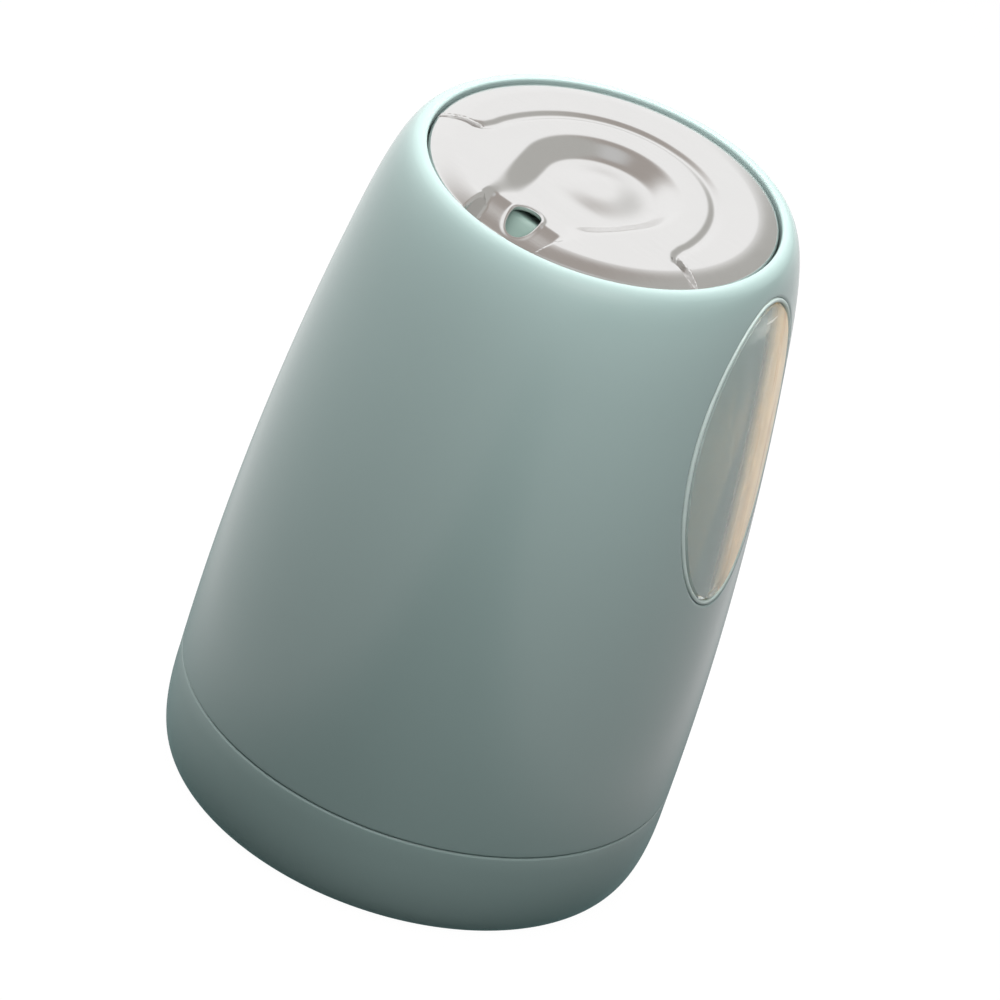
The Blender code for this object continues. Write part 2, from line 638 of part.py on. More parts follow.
def make_lid_plate():
    plate = turned("lid_plate", lid_profile(), LID_STEPS, LID_METAL, closed=False)
    mesh = plate.data
    count = len(mesh.vertices)
    places = np.empty(count * 3)
    mesh.vertices.foreach_get("co", places)
    places = places.reshape(count, 3)
    depth = press_depth(places[:, 0], places[:, 1])
    pressed = LID_TOP - depth
    lowest = BODY_HEIGHT - SKIRT_DROP
    places[:, 2] = np.maximum(np.minimum(places[:, 2], pressed), lowest)
    mesh.vertices.foreach_set("co", places.ravel())
    mesh.update()
    wall = plate.modifiers.new("sheet", "SOLIDIFY")
    wall.thickness = SHEET
    wall.offset = -1.0
    hole = drum("lid_hole", HOLE_RADIUS, DECK_UNDERSIDE, LID_TOP + CUT_OVERRUN,
                around(HOLE_REACH, 0.0))
    combine(plate, hole, "DIFFERENCE")
    for index, angle in enumerate((-NOTCH_ANGLE, NOTCH_ANGLE)):
        notch = block(f"notch_{index}", (-NOTCH_WIDTH / 2, -LID_RADIUS - CUT_OVERRUN, DECK_UNDERSIDE),
                      (NOTCH_WIDTH / 2, -LID_FLAT_RADIUS, LID_TOP + CUT_OVERRUN), angle)
        combine(plate, notch, "DIFFERENCE")


def shaft_flat_cut(name, radius):
    """A slab that takes the flat off the shaft, or out of the bore that it keys into."""
    flat = radius - SHAFT_FLAT_DEPTH
    return block(name, (-radius, flat, SCREW_SEAT - CUT_OVERRUN),
                 (radius, radius + CUT_OVERRUN, WAVE_WASHER_TOP))


def make_lid_hub():
    profile = [(0.0, HUB_TOP), (HUB_FLANGE_RADIUS, HUB_TOP), (HUB_FLANGE_RADIUS, HUB_FLANGE_UNDERSIDE),
               (SHAFT_RADIUS, HUB_FLANGE_UNDERSIDE), (SHAFT_RADIUS, STOP_UNDERSIDE),
               (0.0, STOP_UNDERSIDE)]
    hub = turned("lid_hub", profile, RING_STEPS, WHITE_PLASTIC, closed=False)
    pilot = drum("hub_pilot", SCREW_SHANK_RADIUS + CLEARANCE, SCREW_SEAT,
                 SCREW_SEAT + SCREW_BITE + CLEARANCE)
    combine(hub, pilot, "DIFFERENCE")
    combine(hub, shaft_flat_cut("shaft_flat", SHAFT_RADIUS), "DIFFERENCE")


def make_rim_glide():
    top = BODY_HEIGHT - SKIRT_DROP - CLEARANCE
    outer = LID_RADIUS
    turned("rim_glide", ring_profile(outer - RIM_GLIDE_WIDTH, outer, top - RIM_GLIDE_THICKNESS, top),
           BODY_STEPS, NATURAL_PLASTIC)


def make_glide_washer():
    turned("glide_washer", ring_profile(BUSH_BORE, HUB_FLANGE_RADIUS,
                                        GLIDE_WASHER_TOP - GLIDE_WASHER_THICKNESS, GLIDE_WASHER_TOP),
           RING_STEPS, NATURAL_PLASTIC)


def make_wave_washer():
    """A flat ring whose height rises and falls in even waves round its circle."""
    middle = WAVE_WASHER_TOP - WAVE_HEIGHT / 2
    washer = turned("wave_washer", ring_profile(BUSH_BORE, BUSH_BORE + WAVE_WASHER_WIDTH,
                                                middle - WAVE_WASHER_THICKNESS, middle),
                    RING_STEPS, STEEL)
    for vertex in washer.data.vertices:
        angle = math.atan2(vertex.co.y, vertex.co.x)
        vertex.co.z += WAVE_HEIGHT / 2 * math.cos(WAVE_COUNT * angle)


def make_stop_plate():
    plate = turned("stop_plate", disc_profile(STOP_RADIUS, STOP_UNDERSIDE, STOP_TOP), RING_STEPS,
                   STEEL, closed=False)
    arm = block("stop_arm", (-STOP_ARM_WIDTH / 2, SHAFT_RADIUS + CUT_OVERRUN / 2, STOP_UNDERSIDE),
                (STOP_ARM_WIDTH / 2, STOP_ARM_REACH, STOP_TOP))
    bore_radius = SHAFT_RADIUS + CLEARANCE
    bore = drum("stop_bore", bore_radius, STOP_UNDERSIDE - CUT_OVERRUN, STOP_TOP + CUT_OVERRUN,
                steps=RING_STEPS)
    combine(bore, shaft_flat_cut("bore_flat", bore_radius), "DIFFERENCE")
    combine(plate, arm, "UNION")
    combine(plate, bore, "DIFFERENCE")


def make_pivot_screw():
    profile = [(0.0, SCREW_SEAT + SCREW_BITE), (SCREW_SHANK_RADIUS, SCREW_SEAT + SCREW_BITE),
               (SCREW_SHANK_RADIUS, SCREW_SEAT), (SCREW_HEAD_RADIUS, SCREW_SEAT),
               (SCREW_HEAD_RADIUS, SCREW_SEAT - SCREW_HEAD_HEIGHT / 2),
               (SCREW_HEAD_RADIUS - SCREW_HEAD_HEIGHT / 2, SCREW_SEAT - SCREW_HEAD_HEIGHT),
               (0.0, SCREW_SEAT - SCREW_HEAD_HEIGHT)]
    turned("pivot_screw", profile, RING_STEPS // 2, STEEL, closed=False)


make_base_cap()
make_base_insert()
make_base_seal()
make_insert_screws()
make_foot_ring()
make_toothpicks()
make_body_shell()
make_window()
make_top_deck()
make_deck_retainer()
make_deck_bush()
make_pick_guide()
make_lid_plate()
make_lid_hub()
make_rim_glide()
make_glide_washer()
make_wave_washer()
make_stop_plate()
make_pivot_screw()
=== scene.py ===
"""Looks of the toothpick dispenser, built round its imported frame.

Lengths are in metres. The canister stands on Z = 0, its front (the lid's hole) faces -Y and its
window looks to +X and a little back. Angles called "turn" are counted from the window's middle round
the canister, and angles called "swing" from the front (-Y) towards +X.
"""

import logging
import math
from dataclasses import dataclass, field
from enum import Enum
from typing import Callable, Sequence

import bmesh
import bpy
import numpy as np
from mathutils import Matrix, Vector


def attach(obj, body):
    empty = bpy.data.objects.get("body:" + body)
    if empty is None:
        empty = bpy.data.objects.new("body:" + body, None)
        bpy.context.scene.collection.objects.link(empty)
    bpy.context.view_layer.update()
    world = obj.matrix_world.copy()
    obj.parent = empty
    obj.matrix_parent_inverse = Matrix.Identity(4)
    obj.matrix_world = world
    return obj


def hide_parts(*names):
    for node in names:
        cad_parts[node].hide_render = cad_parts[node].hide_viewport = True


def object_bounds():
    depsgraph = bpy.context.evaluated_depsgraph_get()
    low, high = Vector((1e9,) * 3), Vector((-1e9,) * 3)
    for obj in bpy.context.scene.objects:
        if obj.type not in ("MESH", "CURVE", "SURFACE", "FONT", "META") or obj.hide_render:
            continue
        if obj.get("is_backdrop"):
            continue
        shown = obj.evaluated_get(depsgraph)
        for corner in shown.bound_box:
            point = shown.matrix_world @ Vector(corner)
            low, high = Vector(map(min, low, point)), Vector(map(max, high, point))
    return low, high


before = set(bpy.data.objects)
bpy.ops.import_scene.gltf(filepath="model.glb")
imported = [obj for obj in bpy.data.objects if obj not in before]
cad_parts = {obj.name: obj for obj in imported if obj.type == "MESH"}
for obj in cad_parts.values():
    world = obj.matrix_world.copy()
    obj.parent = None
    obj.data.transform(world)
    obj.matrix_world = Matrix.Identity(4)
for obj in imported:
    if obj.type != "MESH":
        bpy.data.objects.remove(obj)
CAD_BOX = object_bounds()

LOG = logging.getLogger("toothpick_dispenser")
Array = np.ndarray
Colour = tuple[float, float, float]
MERGE = 1e-6


# ---------------------------------------------------------------- numbers and curves
def smooth_step(share: Array) -> Array:
    """Three times the share squared less twice its cube, held between 0 and 1."""
    share = np.clip(share, 0.0, 1.0)
    return share * share * (3.0 - 2.0 * share)


def linear(red: float, green: float, blue: float) -> Colour:
    """A colour written as 0 to 255 on screen, as the light that it stands for."""
    shares = np.array((red, green, blue)) / 255.0
    light = np.where(shares <= 0.04045, shares / 12.92, ((shares + 0.055) / 1.055) ** 2.4)
    return tuple(float(part) for part in light)


def bell(places: Array, centre: float, width: float) -> Array:
    """Exp of minus the squared distance from the centre in widths."""
    return np.exp(-(((places - centre) / width) ** 2))


def arc(centre: tuple[float, float], radius: float, start: float, end: float, count: int) -> Array:
    """Points of a section on a circle, from one angle to another in degrees, as rows of (r, z)."""
    angles = np.radians(np.linspace(start, end, count))
    return np.stack((centre[0] + radius * np.cos(angles), centre[1] + radius * np.sin(angles)), axis=1)


# ---------------------------------------------------------------- meshes
def ring_quads(rings: int, count: int, first: int = 0) -> Array:
    """Faces between rings of points that close on themselves.

    Args:
        rings: how many rings there are.
        count: points in each ring.
        first: index of the first point.
    Returns:
        Rows of four indices: point j of ring i, then j + 1, then both on ring i + 1.
    """
    ring, place = np.meshgrid(np.arange(rings - 1), np.arange(count), indexing="ij")
    after = (place + 1) % count
    low, high = first + ring * count, first + (ring + 1) * count
    return np.stack((low + place, low + after, high + after, high + place), axis=-1).reshape(-1, 4)


class Solid:
    """Collects patches of points and faces, and closes them into one mesh object."""

    def __init__(self, name: str) -> None:
        """Starts an empty piece of that name."""
        self.name = name
        self.points: list[Array] = []
        self.faces: list[Sequence[int]] = []
        self.count = 0

    def add(self, points: Array, faces: Array | list) -> "Solid":
        """Adds points of shape (n, 3) and faces that index them."""
        self.points.append(np.asarray(points, dtype=float).reshape(-1, 3))
        if isinstance(faces, np.ndarray):
            self.faces.extend((faces + self.count).tolist())
        else:
            self.faces.extend([[index + self.count for index in face] for face in faces])
        self.count += len(self.points[-1])
        return self

    def rings(self, rings: Array) -> "Solid":
        """Adds rings of points of shape (rings, count, 3), each ring closed on itself."""
        return self.add(rings, ring_quads(rings.shape[0], rings.shape[1]))

    def made(self, body: str, material: bpy.types.Material, slot: str, replaced: Sequence[str],
             crease: float = 40.0) -> bpy.types.Object:
        """Closes the seams, turns the faces outwards and puts the piece on its body.

        Args:
            body: the moving body that carries the piece.
            material: its finish.
            slot: the record's material slot; not used.
            replaced: CAD nodes that the piece stands for.
            crease: edges sharper than this many degrees stay crisp.
        Returns:
            The finished object.
        """
        mesh = bpy.data.meshes.new(self.name)
        mesh.from_pydata(np.concatenate(self.points).tolist(), [], self.faces)
        bm = bmesh.new()
        bm.from_mesh(mesh)
        bmesh.ops.remove_doubles(bm, verts=bm.verts, dist=MERGE)
        bmesh.ops.dissolve_degenerate(bm, edges=bm.edges, dist=MERGE / 10)
        bmesh.ops.recalc_face_normals(bm, faces=bm.faces)
        bm.to_mesh(mesh)
        bm.free()
        return dressed(self.name, mesh, body, material, slot, replaced, crease)


def dressed(name: str, mesh: bpy.types.Mesh, body: str, material: bpy.types.Material, slot: str,
            replaced: Sequence[str], crease: float = 40.0) -> bpy.types.Object:
    """Makes an object of a finished mesh, with its finish and body."""
    mesh.materials.clear()
    mesh.materials.append(material)
    mesh.shade_smooth()
    mesh.set_sharp_from_angle(angle=math.radians(crease))
    piece = bpy.data.objects.new(name, mesh)
    bpy.context.scene.collection.objects.link(piece)
    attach(piece, body)
    if replaced:
        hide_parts(*replaced)
    triangles = sum(len(face.vertices) - 2 for face in mesh.polygons)
    LOG.info("%s on %s, %d triangles", name, body, triangles)
    return piece


def spun(section: Array, turns: Array) -> Array:
    """A section of (r, z) rows carried round the Z axis: (r cos turn, r sin turn, z)."""
    radius, height = section[:, None, 0], section[:, None, 1]
    return np.stack((radius * np.cos(turns), radius * np.sin(turns), height + 0.0 * turns), axis=-1)


def full_turn(count: int) -> Array:
    """Even turns round a whole circle."""
    return np.arange(count) * 2.0 * math.pi / count


def ring_piece(name: str, section: Array, steps: int, closed: bool = True) -> Solid:
    """A turned piece from its section, which closes on itself or ends on the axis twice."""
    outline = np.vstack((section, section[:1])) if closed else section
    return Solid(name).rings(spun(outline, full_turn(steps)))


def softened(corners: Sequence[tuple[float, float, float]], steps: int = 4) -> Array:
    """A closed section with rounded corners.

    Each corner is cut back by its round along both sides and joined by a curve whose points are
    (1 - t)^2 start + 2 t (1 - t) corner + t^2 end.

    Args:
        corners: (r, z, round) of each corner in order.
        steps: points on each rounded corner, less one.
    Returns:
        Rows of (r, z).
    """
    places = np.array([corner[:2] for corner in corners])
    rows = []
    for index, (_, _, cut) in enumerate(corners):
        here, before, after = places[index], places[index - 1], places[(index + 1) % len(places)]
        if cut <= 0.0:
            rows.append(here[None])
            continue
        start = here + (before - here) * cut / np.linalg.norm(before - here)
        end = here + (after - here) * cut / np.linalg.norm(after - here)
        share = np.linspace(0.0, 1.0, steps + 1)[:, None]
        rows.append((1 - share) ** 2 * start + 2 * share * (1 - share) * here + share ** 2 * end)
    return np.vstack(rows)


@dataclass
class OpenedGrid:
    """A grid of two parameters round a full turn, with an oval opening in it.

    Inside a block of cells the grid gives way to rings that run from the block's border to the
    opening's edge: ring point = border + (edge - border) * eased share.

    Attributes:
        columns: first parameter of each column, the block's columns first.
        rows: second parameter of each row.
        block_columns: the block takes columns 0 to this one.
        block_rows: the block's first and last row.
        edge: gives the edge's two parameters for angles round the opening.
        centre: the opening's centre in both parameters.
        spans: half sizes of the opening in both parameters, which spread the angles.
        rings: rings between the border and the edge.
    """

    columns: Array
    rows: Array
    block_columns: int
    block_rows: tuple[int, int]
    edge: Callable[[Array], tuple[Array, Array]]
    centre: tuple[float, float]
    spans: tuple[float, float]
    rings: int = 14

    def border(self) -> Array:
        """Indices of the grid's points round the block, in order."""
        low, high = self.block_rows
        count = len(self.columns)
        bottom = low * count + np.arange(0, self.block_columns)
        right = np.arange(low, high) * count + self.block_columns
        top = high * count + np.arange(self.block_columns, 0, -1)
        left = np.arange(high, low, -1) * count
        return np.concatenate((bottom, right, top, left))

    def laid(self) -> tuple[Array, Array, Array]:
        """Lays the grid out.

        Returns:
            The points' two parameters, the faces, and the angle of each point on the edge.
        """
        count = len(self.columns)
        second, first = np.meshgrid(self.rows, self.columns, indexing="ij")
        grid = np.stack((first, second), axis=-1).reshape(-1, 2)
        border = self.border()
        start = grid[border]
        angles = np.arctan2((start[:, 1] - self.centre[1]) / self.spans[1],
                            (start[:, 0] - self.centre[0]) / self.spans[0])
        end = np.stack(self.edge(angles), axis=-1)
        share = np.arange(1, self.rings + 1) / self.rings
        share = 1.0 - (1.0 - share) ** 1.5
        inner = start + (end - start) * share[:, None, None]
        row, column = np.meshgrid(np.arange(len(self.rows) - 1), np.arange(count), indexing="ij")
        after = (column + 1) % count
        quads = np.stack((row * count + column, row * count + after,
                          (row + 1) * count + after, (row + 1) * count + column), axis=-1)
        low, high = self.block_rows
        kept = ~((row >= low) & (row < high) & (column < self.block_columns))
        rings = np.vstack((border, len(grid) + np.arange(self.rings * len(border))
                           .reshape(self.rings, -1)))
        here, onward = rings[:-1], np.roll(rings, -1, axis=1)
        patch = np.stack((here, onward[:-1], onward[1:], rings[1:]), axis=-1).reshape(-1, 4)
        points = np.vstack((grid, inner.reshape(-1, 2)))
        faces = np.vstack((quads[kept], patch))
        used = np.unique(faces)
        place = np.zeros(len(points), dtype=int)
        place[used] = np.arange(len(used))
        return points[used], place[faces], angles


# ---------------------------------------------------------------- shader maths
class Socket:
    """A shader socket that Python's operators work on, each adding one Math node."""

    def __init__(self, web: "Web", socket: bpy.types.NodeSocket) -> None:
        """Wraps a socket of one material's nodes."""
        self.web = web
        self.socket = socket

    def _math(self, operation: str, first: object, second: object) -> "Socket":
        """One Math node."""
        return self.web._math_of(operation, first, second)

    def __add__(self, other: object) -> "Socket":
        """Sum."""
        return self._math("ADD", self, other)

    __radd__ = __add__

    def __sub__(self, other: object) -> "Socket":
        """Difference."""
        return self._math("SUBTRACT", self, other)

    def __rsub__(self, other: object) -> "Socket":
        """Difference from a number."""
        return self._math("SUBTRACT", other, self)

    def __mul__(self, other: object) -> "Socket":
        """Product."""
        return self._math("MULTIPLY", self, other)

    __rmul__ = __mul__

    def __pow__(self, other: object) -> "Socket":
        """Power."""
        return self._math("POWER", self, other)

    def held(self) -> "Socket":
        """The same value, held between 0 and 1."""
        return self.web.node("ShaderNodeClamp", {}, {"Value": self})


class Web:
    """The nodes of one material, round its Principled shader."""

    def __init__(self, name: str) -> None:
        """Makes the material with its shader and output."""
        self.material = bpy.data.materials.new(name)
        self.material.use_nodes = True
        self.tree = self.material.node_tree
        self.shader = self.tree.nodes["Principled BSDF"]

    def node(self, kind: str, settings: dict, sockets: dict, output: int | str = 0) -> Socket:
        """Adds any node.

        Args:
            kind: the node's type.
            settings: its own settings, set first; "stops" are a ramp's (place, colour) pairs.
            sockets: input name or index to a value or a Socket.
            output: which output is wanted.
        Returns:
            That output.
        """
        node = self.tree.nodes.new(kind)
        for key, value in settings.items():
            if key == "stops":
                ramp = node.color_ramp
                while len(ramp.elements) < len(value):
                    ramp.elements.new(1.0)
                for element, (place, colour) in zip(ramp.elements, value):
                    element.position = place
                    element.color = (*colour, 1.0)
            else:
                setattr(node, key, value)
        for key, value in sockets.items():
            self.feed(node.inputs[key], value)
        return Socket(self, node.outputs[output])

    def feed(self, target: bpy.types.NodeSocket, value: object) -> None:
        """Links a Socket to an input, or sets the input to a number, colour or vector."""
        if isinstance(value, Socket):
            self.tree.links.new(value.socket, target)
        elif isinstance(value, tuple) and target.type == "RGBA":
            target.default_value = (*value[:3], 1.0)
        else:
            target.default_value = value

    def places(self, scale: tuple[float, float, float] = (1.0, 1.0, 1.0)) -> Socket:
        """Object coordinates, stretched by a Mapping node."""
        found = self.node("ShaderNodeTexCoord", {}, {}, "Object")
        return self.node("ShaderNodeMapping", {}, {"Vector": found, "Scale": scale})

    def noise(self, size: float, detail: float = 2.0, stretch: tuple[float, float, float] = (1, 1, 1),
              roughness: float = 0.5) -> Socket:
        """Soft noise whose lumps are about that many metres across, as a value round 0.5."""
        return self.node("ShaderNodeTexNoise", {},
                         {"Vector": self.places(stretch), "Scale": 1.0 / size, "Detail": detail,
                          "Roughness": roughness})

    def rising(self, value: Socket, low: float, high: float) -> Socket:
        """A smooth step of the value, from 0 at low to 1 at high, which may be the lower number."""
        return self.node("ShaderNodeMapRange", {"interpolation_type": "SMOOTHSTEP"},
                         {"Value": value, "From Min": low, "From Max": high})

    def rays(self, *kinds: str) -> Socket:
        """1 for rays of any of these kinds, and 0 for the rest."""
        found = self.node("ShaderNodeLightPath", {}, {}, f"Is {kinds[0]} Ray")
        for kind in kinds[1:]:
            other = self.node("ShaderNodeLightPath", {}, {}, f"Is {kind} Ray")
            found = self._math_of("MAXIMUM", found, other)
        return found

    def _math_of(self, operation: str, first: object, second: object) -> Socket:
        """One Math node."""
        return self.node("ShaderNodeMath", {"operation": operation}, {0: first, 1: second})

    def mixed(self, share: object, first: object, second: object) -> Socket:
        """A colour between two colours."""
        return self.node("ShaderNodeMix", {"data_type": "RGBA"}, {0: share, 6: first, 7: second}, 2)

    def bump(self, height: Socket, strength: float, distance: float) -> Socket:
        """A Bump node's normal for a height of 0 to 1 times the distance."""
        return self.node("ShaderNodeBump", {}, {"Height": height, "Strength": strength,
                                                "Distance": distance})

    def shade(self, **inputs: object) -> bpy.types.Material:
        """Sets the shader's inputs, with _ for a space in their names, and gives the material."""
        for key, value in inputs.items():
            self.feed(self.shader.inputs[key.replace("_", " ")], value)
        return self.material


class WorldWeb(Web):
    """The nodes of the world's surroundings."""

    def __init__(self, world: bpy.types.World) -> None:
        """Takes the world's own nodes."""
        world.use_nodes = True
        self.tree = world.node_tree

    def along(self, direction: Vector) -> Socket:
        """How far a ray points along a fixed direction, from -1 to 1."""
        found = self.node("ShaderNodeTexCoord", {}, {}, "Generated")
        return self.node("ShaderNodeVectorMath", {"operation": "DOT_PRODUCT"},
                         {0: found, 1: tuple(direction)}, "Value")


@dataclass(frozen=True)
class MouldedPlastic:
    """Moulded plastic: slight cloudiness in the colour, polish that varies, fine mould texture."""

    name: str
    colour: Colour
    roughness: float
    cloud: float = 0.04
    texture: float = 0.05
    coat: float = 0.0

    def material(self) -> bpy.types.Material:
        """Builds the finish."""
        web = Web(self.name)
        broad = web.noise(0.030, 3.0)
        fine = web.noise(0.0011, 2.0)
        grain = web.noise(0.00045, 2.0)
        deep = tuple(part * (1.0 - self.cloud) for part in self.colour)
        pale = tuple(min(part * (1.0 + self.cloud), 1.0) for part in self.colour)
        colour = web.mixed(broad, deep, pale)
        polish = self.roughness + (broad - 0.5) * 0.06
        normal = web.bump(fine * 0.6 + grain * 0.4, self.texture, 0.00006)
        return web.shade(Base_Color=colour, Roughness=polish, Normal=normal, IOR=1.46,
                         Coat_Weight=self.coat, Coat_Roughness=0.08)


@dataclass(frozen=True)
class RolledMetal:
    """Sheet metal with fine rolling lines, clouded polish and a faint dimpled skin."""

    name: str
    colour: Colour
    roughness: float
    lines: tuple[float, float, float] = (0.04, 1.0, 1.0)
    relief: float = 0.10

    def material(self) -> bpy.types.Material:
        """Builds the finish."""
        web = Web(self.name)
        streak = web.noise(0.00022, 3.0, self.lines)
        broad = web.noise(0.008, 3.0)
        dimple = web.noise(0.0009, 2.0)
        dark = tuple(part * 0.88 for part in self.colour)
        colour = web.mixed((streak * 0.6 + broad * 0.4).held(), dark, self.colour)
        polish = self.roughness + (streak - 0.5) * 0.06 + (broad - 0.5) * 0.06
        normal = web.bump(streak * 0.4 + dimple * 0.6, self.relief, 0.00005)
        return web.shade(Base_Color=colour, Roughness=polish, Normal=normal, Metallic=1.0)


@dataclass(frozen=True)
class ClearPlastic:
    """Clear acrylic with faint smears in its polish, and painted light and shade towards its two side edges."""

    name: str
    tint: Colour
    painted_shade: Colour
    painted_lit_wood: Colour

    def material(self) -> bpy.types.Material:
        """Builds the finish."""
        web = Web(self.name)
        smear = web.noise(0.012, 4.0, (1.0, 1.0, 0.5))
        ripple = web.noise(0.010, 1.0)
        polish = 0.02 + (smear - 0.45).held() * 0.25
        web.shade(Base_Color=self.tint, Roughness=polish, Transmission_Weight=1.0, IOR=1.30,
                  Normal=web.bump(ripple, 0.05, 0.0002))
        # A rough layer over the pane holds painted shade and painted light of what lies behind it: grey-teal
        # painted shade of the dark inside towards the front edge, and cream painted light on the birch picks,
        # with darker grain streaks, towards the back edge.
        along = web.node("ShaderNodeSeparateXYZ", {}, {0: web.places()}, "Y")
        front, back = web.rising(along, 0.0095, -0.001), web.rising(along, 0.0035, 0.0105)
        streak = web.noise(0.0016, 3.0, (1.0, 1.0, 0.05))
        tan = tuple(part * share for part, share in zip(self.painted_lit_wood, (0.78, 0.62, 0.42)))
        warm = web.mixed(web.rising(streak, 0.50, 0.66), self.painted_lit_wood, tan)
        cloud = web.mixed(back, self.painted_shade, warm)
        painted_light_layer = web.node("ShaderNodeBsdfPrincipled", {}, {"Base Color": cloud, "Roughness": 0.30})
        share = 0.05 + front * 0.58 + back * 0.62 + (smear - 0.5) * 0.16
        last = web.node("ShaderNodeMixShader", {}, {0: share.held(), 1: Socket(web, web.shader.outputs[0]),
                                                    2: painted_light_layer})
        web.feed(web.tree.nodes["Material Output"].inputs["Surface"], last)
        return web.material


@dataclass(frozen=True)
class Rubber:
    """Soft elastomer: matte skin with fine grain and a little bloom."""

    name: str
    colour: Colour
    roughness: float
    through: float = 0.0

    def material(self) -> bpy.types.Material:
        """Builds the finish."""
        web = Web(self.name)
        bloom = web.noise(0.006, 4.0)
        grain = web.noise(0.0004, 2.0)
        pale = tuple(min(part * 1.25 + 0.01, 1.0) for part in self.colour)
        return web.shade(Base_Color=web.mixed(bloom, self.colour, pale),
                         Roughness=self.roughness + (bloom - 0.5) * 0.12,
                         Normal=web.bump(grain, 0.25, 0.00006), Transmission_Weight=self.through,
                         IOR=1.41)


@dataclass(frozen=True)
class Birch:
    """Polished birch picks: grain along each pick, and a tone of its own for each."""

    name: str
    pale: Colour
    deep: Colour

    def material(self) -> bpy.types.Material:
        """Builds the finish from the grain and the picks' "tone" attribute."""
        web = Web(self.name)
        tone = web.node("ShaderNodeAttribute", {"attribute_name": "tone"}, {}, "Fac")
        grain = web.noise(0.0004, 4.0, (1.0, 1.0, 0.035), 0.6)
        fleck = web.noise(0.0012, 2.0, (1.0, 1.0, 0.12))
        share = (grain * 0.55 + fleck * 0.25 + tone * 0.5 - 0.15).held()
        return web.shade(Base_Color=web.mixed(share, self.pale, self.deep),
                         Roughness=0.5 + (grain - 0.5) * 0.3,
                         Normal=web.bump(grain, 0.3, 0.00008))


class Finish(Enum):
    """The finishes of the dispenser's pieces."""

    BODY = MouldedPlastic("grey_green_gloss", linear(136, 157, 155), 0.23, 0.02, 0.04, 0.12)
    # The deck is the body's grey-green plastic darkened to about half: painted shade, for the shade it sits in
    # under the lid.
    DECK_PAINTED_SHADE = MouldedPlastic("grey_green_deck_painted_shade", linear(102, 123, 117), 0.40, 0.03, 0.08)
    WHITE = MouldedPlastic("white_moulding", linear(226, 226, 221), 0.42, 0.03, 0.08)
    NATURAL = MouldedPlastic("natural_bearing", linear(222, 219, 205), 0.36, 0.04, 0.06)
    LID = RolledMetal("satin_lid_sheet", linear(241, 240, 239), 0.19)
    STEEL = RolledMetal("zinc_steel", linear(190, 190, 188), 0.30, (1.0, 1.0, 1.0), 0.15)
    # The pane's last two colours are painted: grey-teal painted shade of the inside, and cream painted light on
    # the picks behind the window.
    PANE = ClearPlastic("clear_acrylic_painted_light", (1.0, 1.0, 0.99), linear(148, 165, 162), linear(254, 232, 190))
    GASKET = Rubber("pale_gasket_skin", linear(174, 190, 187), 0.45)
    SEAL = Rubber("silicone_seal", linear(206, 214, 210), 0.40, 0.3)
    FOOT = Rubber("dark_silicone", linear(58, 62, 62), 0.70)
    WOOD = Birch("birch_picks", linear(246, 224, 184), linear(214, 168, 116))


class Finishes:
    """Makes each finish's material once."""

    def __init__(self) -> None:
        """Starts with none made."""
        self.made: dict[Finish, bpy.types.Material] = {}

    def __getitem__(self, finish: Finish) -> bpy.types.Material:
        """The material of a finish."""
        if finish not in self.made:
            self.made[finish] = finish.value.material()
        return self.made[finish]


# ---------------------------------------------------------------- the canister's outline
@dataclass(frozen=True)
class Outline:
    """The canister's outer section and the sizes that several pieces share."""

    body_height: float = 0.1025
    opening_radius: float = 0.0250
    lip_radius: float = 0.02575
    lip_round: float = 0.00035
    lip_ease: float = 0.0031
    shoulder_radius: float = 0.0316
    shoulder_drop: float = 0.0214
    shoulder_ease: float = 0.01035
    belly_radius: float = 0.03555
    belly_height: float = 0.0196
    seam_height: float = 0.0148
    seam_gap: float = 0.00010
    wall: float = 0.0022
    clearance: float = 0.0003
    window_turn: float = math.radians(8.0)

    @property
    def shoulder_height(self) -> float:
        """Where the flank meets the shoulder."""
        return self.body_height - self.shoulder_drop

    def side_radius(self, height: Array) -> Array:
        """Belly radius less (belly - shoulder) times the squared share of the way up to the shoulder."""
        share = (height - self.belly_height) / (self.shoulder_height - self.belly_height)
        return self.belly_radius - (self.belly_radius - self.shoulder_radius) * share ** 2

    def shoulder(self, count: int) -> Array:
        """The shoulder's cubic curve, from the lip's level start down to the flank's own slope.

        Its points are (1-t)^3 top + 3 (1-t)^2 t top handle + 3 (1-t) t^2 foot handle + t^3 foot.
        """
        slope = (2 * (self.belly_radius - self.shoulder_radius)
                 / (self.shoulder_height - self.belly_height))
        top = np.array((self.lip_radius, self.body_height))
        foot = np.array((self.shoulder_radius, self.shoulder_height))
        top_handle = top + np.array((self.lip_ease, 0.0))
        foot_handle = foot + self.shoulder_ease * np.array((-slope, 1.0)) / math.hypot(slope, 1.0)
        share = np.linspace(0.0, 1.0, count)[:, None]
        rest = 1.0 - share
        return (rest ** 3 * top + 3 * rest ** 2 * share * top_handle
                + 3 * rest * share ** 2 * foot_handle + share ** 3 * foot)

    def table(self, count: int = 4000) -> Array:
        """The outer section from the seam up to the lip, in even steps of length along it."""
        heights = np.linspace(self.seam_height + self.seam_gap / 2, self.shoulder_height, count)
        flank = np.stack((self.side_radius(heights), heights), axis=1)
        raw = np.vstack((flank[:-1], self.shoulder(count)[::-1]))
        lengths = np.concatenate(([0.0], np.cumsum(np.hypot(*np.diff(raw, axis=0).T))))
        even = np.linspace(0.0, lengths[-1], count)
        return np.stack((even, np.interp(even, lengths, raw[:, 0]), np.interp(even, lengths, raw[:, 1])),
                        axis=1)


